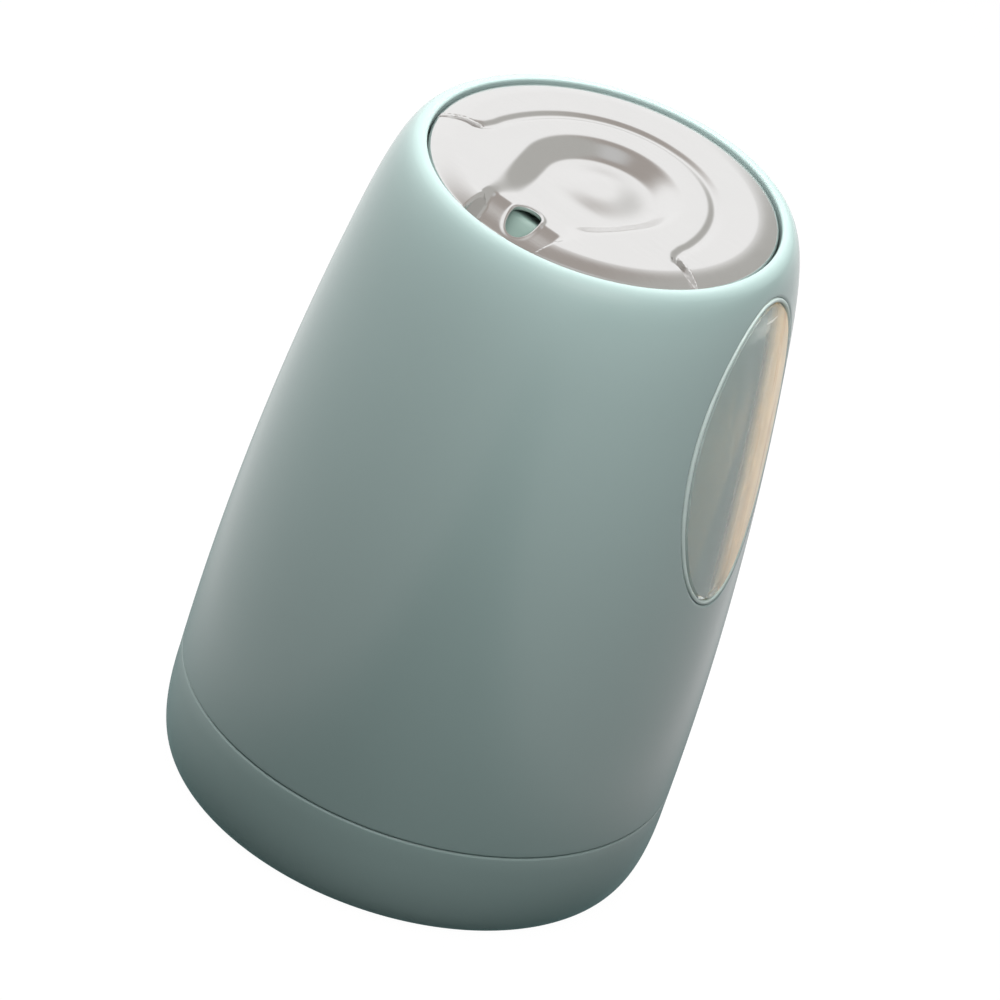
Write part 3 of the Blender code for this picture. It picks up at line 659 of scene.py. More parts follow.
class Skin:
    """The shell's wall as a surface of turn, length along the section, and depth into the wall."""

    def __init__(self, outline: Outline) -> None:
        """Works out the section's table and its outward normals."""
        self.outline = outline
        self.length, self.radius, self.height = outline.table().T
        across, up = np.gradient(self.radius), np.gradient(self.height)
        size = np.hypot(across, up)
        self.normal_out, self.normal_up = up / size, -across / size

    def length_at(self, height: Array) -> Array:
        """Length along the section at a height."""
        return np.interp(height, self.height, self.length)

    def section(self, length: Array, depth: Array) -> Array:
        """Rows of (r, z): the outer point less the depth times the outward normal."""
        out = np.interp(length, self.length, self.radius)
        up = np.interp(length, self.length, self.height)
        return np.stack((out - depth * np.interp(length, self.length, self.normal_out),
                         up - depth * np.interp(length, self.length, self.normal_up)), axis=-1)

    def place(self, turn: Array, length: Array, depth: Array | float) -> Array:
        """Points (r cos t, r sin t, z) at that length and depth, t being turn + the window's turn."""
        found = self.section(length, np.asarray(depth) + 0.0 * length)
        turn = turn + self.outline.window_turn
        return np.stack((found[..., 0] * np.cos(turn), found[..., 0] * np.sin(turn), found[..., 1]),
                        axis=-1)


@dataclass(frozen=True)
class Oval:
    """The window's oval, seen straight on: across half width cos a, up centre + half height sin a."""

    skin: Skin
    half_width: float = 0.0121
    half_height: float = 0.0234
    centre_height: float = 0.0760

    def edge(self, angles: Array, growth: float = 0.0) -> tuple[Array, Array]:
        """Turn and length of the edge, grown outwards by that much."""
        height = self.centre_height + (self.half_height + growth) * np.sin(angles)
        length = self.skin.length_at(height)
        radius = np.interp(length, self.skin.length, self.skin.radius)
        turn = np.arcsin((self.half_width + growth) * np.cos(angles) / radius)
        return turn, length

    def place(self, angles: Array, growth: float, depth: float) -> Array:
        """Points on the grown edge at a depth into the wall."""
        turn, length = self.edge(angles, growth)
        return self.skin.place(turn, length, depth)

    def disc(self, angles: Array, growth: float, depth: float, rings: int) -> Array:
        """Rings from the oval's centre out to its grown edge, at one depth."""
        turn, length = self.edge(angles, growth)
        middle = self.skin.length_at(np.array(self.centre_height))
        share = (np.arange(rings + 1) / rings)[:, None]
        return self.skin.place(turn * share, middle + (length - middle) * share, depth)


# ---------------------------------------------------------------- housing
@dataclass
class Housing:
    """The shell with its oval window, and the fixed deck under the lid."""

    outline: Outline
    finishes: Finishes
    columns: int = 240
    rows: int = 112
    block_columns: int = 40
    edge_round: float = 0.00045
    edge_steps: int = 5
    pane_inset: float = 0.00008
    gasket_width: float = 0.0006
    gasket_gap: float = 0.00003
    ledge_radius: float = 0.0262
    lip_depth: float = 0.0030
    seam_round: float = 0.00014

    def __post_init__(self) -> None:
        """Works out the skin and the oval."""
        self.skin = Skin(self.outline)
        self.oval = Oval(self.skin)

    def grid(self) -> OpenedGrid:
        """The shell's grid of turn and length, opened at the oval."""
        turns = full_turn(self.columns) - self.block_columns / 2 * 2 * math.pi / self.columns
        first = self.seam_round
        last = float(self.skin.length[-1])
        rows = np.linspace(first, last, self.rows)
        low = int(np.searchsorted(rows, self.skin.length_at(np.array(0.0500))))
        high = int(np.searchsorted(rows, self.skin.length_at(np.array(0.1013))))
        middle = float(self.skin.length_at(np.array(self.oval.centre_height)))
        return OpenedGrid(turns, rows, self.block_columns, (low, high),
                          lambda angles: self.oval.edge(angles, self.edge_round),
                          (0.0, middle), (self.oval.half_width / self.outline.shoulder_radius,
                                          self.oval.half_height))

    def build_shell(self) -> None:
        """The shell: outer skin, rounded oval edge, inner skin, lip, ledge and seam edge."""
        line = self.outline
        turning, faces, angles = self.grid().laid()
        outer = self.skin.place(turning[:, 0], turning[:, 1], 0.0)
        inner = self.skin.place(turning[:, 0], turning[:, 1], line.wall)
        bend = np.linspace(0.0, math.pi / 2, self.edge_steps + 1)
        wall = [self.oval.place(angles, self.edge_round * (1 - math.sin(turn)),
                                self.edge_round * (1 - math.cos(turn))) for turn in bend]
        wall += [self.oval.place(angles, 0.0, line.wall - self.edge_round)]
        wall += [self.oval.place(angles, self.edge_round * (1 - math.cos(turn)),
                                 line.wall - self.edge_round * (1 - math.sin(turn)))
                 for turn in bend[1:]]
        turns = self.grid().columns + line.window_turn
        foot = self.skin.section(np.array([self.seam_round]), 0.0)[0]
        foot_inner = self.skin.section(np.array([self.seam_round]), line.wall)[0]
        bottom = line.seam_height + line.seam_gap / 2
        seam = np.vstack((foot[None], arc((foot[0] - self.seam_round, bottom + self.seam_round),
                                          self.seam_round, -10, -90, 5),
                          np.array([[foot_inner[0], bottom]]), foot_inner[None]))
        lip_inner = self.skin.section(self.skin.length[-1:], line.wall)[0]
        ledge = line.body_height - self.lip_depth
        lip = np.vstack((np.array([[line.lip_radius, line.body_height]]),
                         arc((line.opening_radius + line.lip_round, line.body_height - line.lip_round),
                             line.lip_round, 90, 180, 6),
                         np.array([[line.opening_radius, ledge], [self.ledge_radius, ledge],
                                   lip_inner + (0.0010, -0.0006), lip_inner])))
        solid = Solid("fine_shell").add(outer, faces).add(inner, faces).rings(np.array(wall))
        solid.rings(spun(seam, turns)).rings(spun(lip, turns))
        solid.made("housing", self.finishes[Finish.BODY], "body_plastic", ["body_shell"])

    def build_gasket(self) -> None:
        """The gasket: a soft-edged ring between the oval's edge and the pane."""
        angles = full_turn(176)
        out, wall = -self.gasket_gap, self.outline.wall
        into = out - self.gasket_width
        soft = 0.0002
        path = [(out, soft), (out - soft / 3, soft / 3), (out - soft, 0.0), (into + soft, 0.0),
                (into + soft / 3, soft / 3), (into, soft), (into, wall), (out, wall), (out, soft)]
        rings = np.array([self.oval.place(angles, growth, depth) for growth, depth in path])
        Solid("window_seal_ring").rings(rings).made("housing", self.finishes[Finish.GASKET],
                                                    "pale_gasket", ["window_gasket"])

    def build_pane(self) -> None:
        """The pane: two curved faces that follow the shell, with a small chamfer round them."""
        angles = full_turn(176)
        edge = -self.gasket_gap - self.gasket_width - 0.00005
        wall, top, cut = self.outline.wall, self.pane_inset, 0.0004
        front = self.oval.disc(angles, edge - cut, top, 24)
        back = self.oval.disc(angles, edge - cut, wall, 24)[::-1]
        sides = np.array([self.oval.place(angles, edge - cut, top), self.oval.place(angles, edge, top + cut),
                          self.oval.place(angles, edge, wall - cut),
                          self.oval.place(angles, edge - cut, wall)])
        Solid("clear_pane_fine").rings(front).rings(sides).rings(back).made(
            "housing", self.finishes[Finish.PANE], "clear_pane", ["side_window"])

    def build(self) -> None:
        """All of the housing's new pieces."""
        self.build_shell()
        self.build_gasket()
        self.build_pane()


# ---------------------------------------------------------------- base
@dataclass
class Base:
    """The foot cap, the insert with its seal, and the stock of picks."""

    outline: Outline
    finishes: Finishes
    steps: int = 240
    foot_radius: float = 0.0326
    foot_round: float = 0.0113
    foot_power: float = 0.85
    underside: float = 0.0004
    floor: float = 0.0038
    ring_inner: float = 0.0235
    ring_outer: float = 0.0285
    ring_thickness: float = 0.0012
    insert_wall: float = 0.0022
    insert_floor: float = 0.0018
    cap_wall: float = 0.0020
    tray_height: float = 0.0170
    spigot_height: float = 0.0112
    seal_height: float = 0.0210
    seal_thickness: float = 0.0012
    seal_clearance: float = 0.00015
    edge_round: float = 0.00050

    @property
    def insert_radius(self) -> float:
        """The insert's outer radius, a clearance inside the shell's bore."""
        line = self.outline
        return float(line.side_radius(line.seam_height)) - line.wall - line.clearance

    def build_cap(self) -> None:
        """The cap: below the belly its radius is foot + across cos(a)^p, its height falls by sin(a)^p."""
        line = self.outline
        top = line.seam_height - line.seam_gap / 2
        start = self.underside + self.foot_round
        bore = self.insert_radius + line.clearance
        angle = np.linspace(0.0, math.pi / 2, 40)
        across = float(line.side_radius(start)) - self.foot_radius
        flank = np.stack((self.foot_radius + across * np.maximum(np.cos(angle), 0.0) ** self.foot_power,
                          start - self.foot_round * np.sin(angle) ** self.foot_power), axis=1)
        side = float(line.side_radius(top))
        rim = arc((side - self.edge_round, top - self.edge_round), self.edge_round, 90, 0, 6)
        groove = self.ring_thickness + line.clearance
        reach = self.foot_radius - line.clearance
        floor_top = self.underside + self.floor
        rest = np.array([(self.ring_outer + line.clearance, self.underside),
                         (self.ring_outer + line.clearance, groove),
                         (self.ring_inner - line.clearance, groove),
                         (self.ring_inner - line.clearance, self.underside),
                         (0.0, self.underside), (0.0, floor_top), (reach, floor_top),
                         (bore, floor_top + self.cap_wall), (bore, top)])
        ring_piece("fine_base_cap", np.vstack((rim, flank, rest)), self.steps).made(
            "base", self.finishes[Finish.BODY], "body_plastic", ["base_cap"])

    def build_insert(self) -> None:
        """The insert: a spigot with a seal groove, over the tray that the picks stand on."""
        outer, line = self.insert_radius, self.outline
        inner = outer - self.insert_wall
        foot = self.underside + self.floor + self.cap_wall + line.clearance
        top = line.seam_height + self.spigot_height
        groove = outer - self.seal_thickness + self.seal_clearance - line.clearance
        half = self.seal_thickness / 2 + line.clearance
        soft = 0.0004
        section = softened([(inner, top, soft), (outer, top, soft),
                            (outer, self.seal_height + half, 0.0001), (groove, self.seal_height + half, 0.0001),
                            (groove, self.seal_height - half, 0.0001), (outer, self.seal_height - half, 0.0001),
                            (outer, foot, soft / 2), (inner, foot, soft / 2),
                            (inner, self.tray_height - self.insert_floor, 0.0), (0.0, self.tray_height - self.insert_floor, 0.0),
                            (0.0, self.tray_height, 0.0), (inner, self.tray_height, 0.0008)])
        ring_piece("fine_insert", section, self.steps).made(
            "base", self.finishes[Finish.WHITE], "inner_plastic", ["base_insert"])

    def build_seal(self) -> None:
        """The seal: a round cord in the insert's groove."""
        radius = self.seal_thickness / 2
        centre = self.insert_radius + self.seal_clearance - radius
        ring_piece("fine_seal", arc((centre, self.seal_height), radius, 0, -337.5, 16), self.steps).made(
            "base", self.finishes[Finish.SEAL], "seal_rubber", ["base_seal"])

    def build_foot_ring(self) -> None:
        """The foot ring: a flat band with soft edges and a shallow groove in its sole."""
        mid, half, deep = (self.ring_inner + self.ring_outer) / 2, 0.0007, 0.0003
        section = softened([(self.ring_outer, self.ring_thickness, 0.0002), (self.ring_outer, 0.0, 0.0004),
                            (mid + half, 0.0, 0.0001), (mid + half - deep, deep, 0.0001),
                            (mid - half + deep, deep, 0.0001), (mid - half, 0.0, 0.0001),
                            (self.ring_inner, 0.0, 0.0004), (self.ring_inner, self.ring_thickness, 0.0002)])
        ring_piece("fine_foot_ring", section, self.steps).made(
            "base", self.finishes[Finish.FOOT], "foot_rubber", ["foot_ring"])

    def build(self) -> None:
        """All of the base's new pieces."""
        self.build_cap()
        self.build_insert()
        self.build_seal()
        self.build_foot_ring()


@dataclass
class Picks:
    """The stock: a bundle of double-pointed picks that fills the canister."""

    finishes: Finishes
    tray_height: float = 0.0173
    length: float = 0.0650
    radius: float = 0.0010
    point: float = 0.0070
    pitch: float = 0.00235
    bundle_radius: float = 0.0281
    spread: float = 1.045
    twist: float = math.radians(5.0)
    sides: int = 8
    seed: int = 7

    def stations(self) -> Array:
        """(share of the length, radius) of each ring of a pick, from its foot to its tip."""
        end = self.point / self.length
        return np.array([(0.0, 0.16), (end * 0.35, 0.52), (end * 0.75, 0.9), (end * 1.1, 1.0),
                         (1 - end * 1.1, 1.0), (1 - end * 0.75, 0.9), (1 - end * 0.35, 0.52), (1.0, 0.16)])

    def feet(self, chance: np.random.Generator) -> Array:
        """Feet on a triangular lattice inside the bundle, each nudged a little."""
        count = int(self.bundle_radius / self.pitch) + 2
        row, column = np.meshgrid(np.arange(-count, count + 1), np.arange(-count, count + 1))
        x = (column + 0.5 * (row % 2)) * self.pitch
        y = row * self.pitch * math.sqrt(0.75)
        places = np.stack((x.ravel(), y.ravel()), axis=1)
        places = places[np.hypot(*places.T) < self.bundle_radius]
        return places + chance.uniform(-1, 1, places.shape) * (self.pitch / 2 - self.radius) * 0.8

    def build(self) -> None:
        """One mesh of every pick: ring point = foot + share (tip - foot) + radius (cos a, sin a)."""
        chance = np.random.default_rng(self.seed)
        feet = self.feet(chance)
        cosine, sine = math.cos(self.twist), math.sin(self.twist)
        tips = feet @ np.array([[cosine, sine], [-sine, cosine]])
        feet = feet * self.spread
        tips = tips + chance.uniform(-1, 1, feet.shape) * (self.pitch / 2 - self.radius) * 0.8
        rise = chance.uniform(0.0, 0.0006, len(feet))
        share, width = self.stations().T
        angle = full_turn(self.sides)
        plan = (feet[:, None, None, :] + share[None, :, None, None] * (tips - feet)[:, None, None, :]
                + self.radius * width[None, :, None, None]
                * np.stack((np.cos(angle), np.sin(angle)), axis=-1)[None, None])
        height = (self.tray_height + rise[:, None, None] + share[None, :, None] * self.length
                  + 0.0 * angle[None, None])
        points = np.concatenate((plan, height[..., None]), axis=-1)
        each = len(share) * self.sides
        side_faces = ring_quads(len(share), self.sides)
        faces = (side_faces[None] + each * np.arange(len(feet))[:, None, None]).reshape(-1, 4).tolist()
        foot_cap = np.arange(self.sides)[::-1]
        tip_cap = (len(share) - 1) * self.sides + np.arange(self.sides)
        for cap in (foot_cap, tip_cap):
            faces += (cap[None] + each * np.arange(len(feet))[:, None]).tolist()
        mesh = bpy.data.meshes.new("pick_bundle")
        mesh.from_pydata(points.reshape(-1, 3).tolist(), [], faces)
        tone = mesh.attributes.new("tone", "FLOAT", "POINT")
        tone.data.foreach_set("value", np.repeat(chance.uniform(0.0, 1.0, len(feet)), each).astype(np.float32))
        replaced = [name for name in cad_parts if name.startswith("toothpick_")]
        dressed("pick_bundle", mesh, "base", self.finishes[Finish.WOOD], "pick_wood", replaced, 60.0)


# ---------------------------------------------------------------- lid
@dataclass
class Lid:
    """The pressed lid with its dish, channel, hole, groove and notches."""

    outline: Outline
    finishes: Finishes
    sheet: float = 0.00055
    proud: float = 0.00045
    flat_radius: float = 0.0213
    rim_round: float = 0.0004
    rim_slopes: tuple[float, float] = (math.radians(6.0), math.radians(22.0))
    skirt_drop: float = 0.0036
    dish_radius: float = 0.0117
    dish_shift: float = 0.0011
    dish_depth: float = 0.0016
    dish_wall: float = 0.0042
    dome: float = 0.0006
    dome_side: float = 0.0060
    channel_half: float = 0.0066
    channel_wall: float = 0.0014
    neck_reach: float = 0.0192
    crest_reach: float = 0.0169
    crest_depth: float = 0.0004
    trough_reach: float = 0.0212
    trough_depth: float = 0.0032
    hole_reach: float = 0.0179
    hole_radius: float = 0.0022
    bead: float = 0.00016
    groove_half: float = 0.0013
    groove_depth: float = 0.00028
    notch_half: float = 0.00075
    notch_start: tuple[float, float] = (0.0189, math.radians(70.2))
    notch_end: tuple[float, float] = (0.0262, math.radians(69.4))
    notch_depth: float = 0.0012
    columns: int = 420
    flat_rows: int = 90
    rim_rows: int = 18

    @property
    def radius(self) -> float:
        """The lid's radius, a clearance inside the opening."""
        return self.outline.opening_radius - self.outline.clearance

    @property
    def top(self) -> float:
        """Height of the lid's flat."""
        return self.outline.body_height + self.proud

    def press(self, x: Array, y: Array) -> Array:
        """Depth of the keyhole dish: its floor's depth times a smooth step of the way in from its wall."""
        reach, across = -y, np.abs(x)
        forward, neck = reach - self.dish_shift, self.neck_reach - self.dish_shift
        taper = (self.dish_radius - self.channel_half) / neck
        lean = math.sqrt(1.0 - taper ** 2)
        to_dish = self.dish_radius - np.hypot(across, forward)
        to_taper = self.dish_radius - (across * lean + forward * taper)
        in_taper = (forward * lean > across * taper) & (forward < neck)
        to_channel = np.where(forward > neck, self.channel_half - across, -self.dish_radius)
        inside = np.maximum(np.maximum(to_dish, np.where(in_taper, to_taper, -self.dish_radius)), to_channel)
        narrowing = smooth_step((forward - self.dish_radius) / (neck - self.dish_radius))
        width = self.dish_wall + (self.channel_wall - self.dish_wall) * narrowing
        rise = smooth_step((reach - self.dish_radius / 2) / (self.crest_reach - self.dish_radius / 2))
        fall = smooth_step((reach - self.crest_reach) / (self.trough_reach - self.crest_reach))
        floor = (self.crest_depth + (self.dish_depth - self.crest_depth) * (1.0 - rise)
                 + (self.trough_depth - self.crest_depth) * fall)
        hill = self.dome * smooth_step((to_dish - self.dish_wall) / self.dome_side)
        return floor * smooth_step(inside / width) - hill

    def groove_line(self) -> Array:
        """Half of the groove's centre line, from the back round to the notch, as (|x|, y) rows."""
        swing = np.array([180.0, 150.0, 125.0, 110.0, 96.0, 84.0, 76.0, 71.5, 69.8])
        reach = np.array([0.606, 0.612, 0.618, 0.628, 0.648, 0.675, 0.70, 0.74, 0.78])
        fine = np.linspace(180.0, 69.8, 260)
        slopes = np.gradient(reach, swing)
        order = np.argsort(swing)
        index = np.clip(np.searchsorted(swing[order], fine) - 1, 0, len(swing) - 2)
        low, high = swing[order][index], swing[order][index + 1]
        share = (fine - low) / (high - low)
        first, second = reach[order][index], reach[order][index + 1]
        lean, lean_on = slopes[order][index], slopes[order][index + 1]
        gap = high - low
        found = ((2 * share ** 3 - 3 * share ** 2 + 1) * first
                 + (share ** 3 - 2 * share ** 2 + share) * gap * lean
                 + (-2 * share ** 3 + 3 * share ** 2) * second + (share ** 3 - share ** 2) * gap * lean_on)
        turn = np.radians(fine)
        size = self.outline.opening_radius
        return np.stack((found * size * np.sin(turn), -found * size * np.cos(turn)), axis=1)

    @staticmethod
    def reach_to(line: Array, x: Array, y: Array) -> Array:
        """Shortest distance from points to a line of short straight runs."""
        start, run = line[:-1], np.diff(line, axis=0)
        span = (run ** 2).sum(axis=1)
        nearest = np.full(x.shape, 1.0)
        for block in np.array_split(np.arange(x.size), max(1, x.size // 4000)):
            away = np.stack((x.ravel()[block], y.ravel()[block]), axis=1)[:, None] - start
            share = np.clip((away * run).sum(axis=2) / span, 0.0, 1.0)
            gap = np.hypot(*np.moveaxis(away - share[..., None] * run, -1, 0)).min(axis=1)
            nearest.ravel()[block] = gap
        return nearest

    def notch_ends(self) -> Array:
        """The notch's centre line on the +X side, from its inner start out past the rim."""
        return np.array([(reach * math.sin(swing), -reach * math.cos(swing))
                         for reach, swing in (self.notch_start, self.notch_end)])

    def features(self, x: Array, y: Array, spread: float) -> Array:
        """Depth of the dish, groove and notches together.

        The groove is a cosine hollow across its line; the notch a flat slot with steep sides.

        Args:
            x: places across.
            y: places along.
            spread: how much wider the groove and notch are, for the sheet's underside.
        Returns:
            Depth below the flat.
        """
        depth = self.press(x, y)
        across = self.reach_to(self.groove_line(), np.abs(x), y)
        half = self.groove_half + spread
        hollow = self.groove_depth * 0.5 * (1 + np.cos(math.pi * np.clip(across / half, 0, 1)))
        slot_gap = self.reach_to(self.notch_ends(), np.abs(x), y)
        slot = self.notch_depth * smooth_step((self.notch_half + spread - slot_gap) / (0.00035 + spread))
        return np.maximum(depth + hollow, slot)

    def section(self, row: Array, inset: float) -> Array:
        """The unpressed lid's (r, z) for a row parameter, moved inwards by an inset.

        Rows 0 to 1 are flat, 1 to 2 follow the rim and its round, 2 to 3 go down the skirt. The rim
        falls by across (first t + (last - first) t^2 / 2), so its slope runs from first to last.
        """
        across = self.radius - self.rim_round - self.flat_radius
        first, last = math.tan(self.rim_slopes[0]), math.tan(self.rim_slopes[1])
        share = np.linspace(0.0, 1.0, 24)
        bend = np.linspace(self.rim_slopes[1], math.pi / 2, 8)[1:]
        out = self.flat_radius + across * share
        up = self.top - across * (first * share + (last - first) * share ** 2 / 2)
        lean = np.arctan(first + (last - first) * share)
        turn = self.rim_round / (1.0 - math.sin(self.rim_slopes[1]))
        round_out = out[-1] + turn * (np.sin(bend) - math.sin(self.rim_slopes[1]))
        round_up = up[-1] - turn * (math.cos(self.rim_slopes[1]) - np.cos(bend))
        outs = np.concatenate(([0.0], out, round_out, [round_out[-1]]))
        ups = np.concatenate(([self.top], up, round_up, [self.outline.body_height - self.skirt_drop]))
        leans = np.concatenate(([0.0], lean, bend, [math.pi / 2]))
        rows = np.concatenate(([0.0], 1.0 + 0.7 * share, 1.7 + 0.3 * np.arange(1, 8) / 7, [3.0]))
        found_out, found_up, found_lean = (np.interp(row, rows, values) for values in (outs, ups, leans))
        found_lean = np.where(row < 1.0, 0.0, found_lean)
        return np.stack((found_out - inset * np.sin(found_lean), found_up - inset * np.cos(found_lean)),
                        axis=-1)

    def surface(self, swing: Array, row: Array, under: bool) -> Array:
        """Points of the sheet's top or underside for swing and row."""
        section = self.section(row, self.sheet if under else 0.0)
        plan = self.section(row, 0.0)[..., 0]
        x, y = section[..., 0] * np.sin(swing), -section[..., 0] * np.cos(swing)
        wide_x, wide_y = plan * np.sin(swing), -plan * np.cos(swing)
        depth = self.features(wide_x, wide_y, self.sheet * 0.8 if under else 0.0)
        lowest = self.outline.body_height - self.skirt_drop
        if under:
            high = self.top - depth - self.sheet * 1.15
            return np.stack((x, y, np.maximum(np.minimum(section[..., 1], high), lowest)), axis=-1)
        from_hole = np.hypot(x, y + self.hole_reach)
        high = self.top - depth + self.bead * bell(from_hole, self.hole_radius + 0.0003, 0.0003)
        return np.stack((x, y, np.maximum(np.minimum(section[..., 1], high), lowest)), axis=-1)

    def hole_edge(self, angles: Array) -> tuple[Array, Array]:
        """Swing and row of the hole's edge: centre + radius (cos a, sin a), turned back into both."""
        radius = self.hole_radius + 0.0002
        x = radius * np.cos(angles)
        forward = self.hole_reach + radius * np.sin(angles)
        return np.arctan2(x, forward), np.hypot(x, forward) / self.flat_radius

    def swings(self) -> tuple[Array, int]:
        """Columns, closer together at the notches and channel sides, and how many the block takes."""
        fine = np.linspace(-math.pi, math.pi, 20001)
        weight = (1.0 + 5.0 * bell(np.abs(fine), math.radians(69.8), math.radians(3.6))
                  + 1.0 * bell(np.abs(fine), math.radians(17.0), math.radians(7.0)))
        total = np.concatenate(([0.0], np.cumsum((weight[1:] + weight[:-1]) / 2)))
        swings = np.interp(np.arange(self.columns) / self.columns * total[-1], total, fine)
        edge = math.radians(12.5)
        inside = np.flatnonzero(np.abs(swings) <= edge)
        return np.concatenate((swings[inside[0]:], swings[:inside[0]] + 2 * math.pi)), len(inside) - 1

    def grid(self) -> OpenedGrid:
        """The lid's grid of swing and row, opened at the hole."""
        flat = np.linspace(0.0, 1.0, self.flat_rows)
        rim = 1.0 + np.linspace(0.0, 1.0, self.rim_rows)[1:]
        rows = np.concatenate((flat, rim, [2.35, 2.7, 3.0]))
        swings, block = self.swings()
        low = int(np.searchsorted(flat, 0.0139 / self.flat_radius))
        high = len(flat) - 1
        return OpenedGrid(swings, rows, block, (low, high), self.hole_edge,
                          (0.0, self.hole_reach / self.flat_radius),
                          (self.hole_radius / self.hole_reach, self.hole_radius / self.flat_radius), 16)

    def build_plate(self) -> None:
        """The plate: top, curled hole edge, underside and the skirt's foot."""
        grid = self.grid()
        laid, faces, angles = grid.laid()
        top = self.surface(laid[:, 0], laid[:, 1], False)
        under = self.surface(laid[:, 0], laid[:, 1], True)
        swing, row = self.hole_edge(angles)
        edge_top = self.surface(swing, row, False)
        edge_under = self.surface(swing, row, True)
        curl = np.linspace(0.0, math.pi / 2, 6)[:, None]
        centre = np.array((0.0, -self.hole_reach))
        out = (edge_top[:, :2] - centre) / (self.hole_radius + 0.0002)
        radius = self.hole_radius + 0.0002 * (1 - np.sin(curl))
        height = edge_top[:, 2] - 0.0002 * (1 - np.cos(curl))
        rolled = np.stack((centre[0] + out[:, 0] * radius, centre[1] + out[:, 1] * radius, height), axis=-1)
        rings = np.concatenate((rolled, edge_under[None]))
        foot = np.stack((self.surface(grid.columns, np.full(grid.columns.shape, 3.0), False),
                         self.surface(grid.columns, np.full(grid.columns.shape, 3.0), True)))
        Solid("pressed_lid").add(top, faces).add(under, faces).rings(rings).rings(foot).made(
            "lid", self.finishes[Finish.LID], "lid_metal", ["lid_plate"], 50.0)

    def build(self) -> None:
        """All of the lid's new pieces."""
        self.build_plate()


# ---------------------------------------------------------------- kept CAD nodes
@dataclass
class KeptNodes:
    """Finishes for the CAD nodes that stay, and smooth copies of the turned ones."""

    finishes: Finishes
    plain: dict[str, Finish] = field(default_factory=lambda: {
        "insert_screw_1": Finish.STEEL, "insert_screw_2": Finish.STEEL, "insert_screw_3": Finish.STEEL,
        "stop_plate": Finish.STEEL, "wave_washer": Finish.STEEL, "pivot_screw": Finish.STEEL,
        "glide_washer": Finish.NATURAL, "deck_bush": Finish.NATURAL})
    copied: dict[str, tuple[Finish, str, str]] = field(default_factory=lambda: {
        # The deck's copy takes the body's plastic with painted shade.
        "top_deck": (Finish.DECK_PAINTED_SHADE, "housing", "body_plastic"),
        "deck_retainer": (Finish.WHITE, "housing", "inner_plastic"),
        "pick_guide": (Finish.WHITE, "housing", "inner_plastic"),
        "lid_hub": (Finish.WHITE, "lid", "inner_plastic"),
        "rim_glide": (Finish.NATURAL, "lid", "bearing_plastic")})

    def build(self) -> None:
        """Dresses the kept nodes, and replaces the others by merged, smooth-shaded copies."""
        for name, finish in self.plain.items():
            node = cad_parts[name]
            node.data.materials.clear()
            node.data.materials.append(self.finishes[finish])
            LOG.info("%s keeps its mesh, finish %s", name, finish.name)
        for name, (finish, body, slot) in self.copied.items():
            bm = bmesh.new()
            bm.from_mesh(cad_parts[name].data)
            bmesh.ops.remove_doubles(bm, verts=bm.verts, dist=MERGE)
            bmesh.ops.recalc_face_normals(bm, faces=bm.faces)
            mesh = bpy.data.meshes.new(name + "_smooth")
            bm.to_mesh(mesh)
            bm.free()
            dressed(name + "_smooth", mesh, body, self.finishes[finish], slot, [name], 30.0)


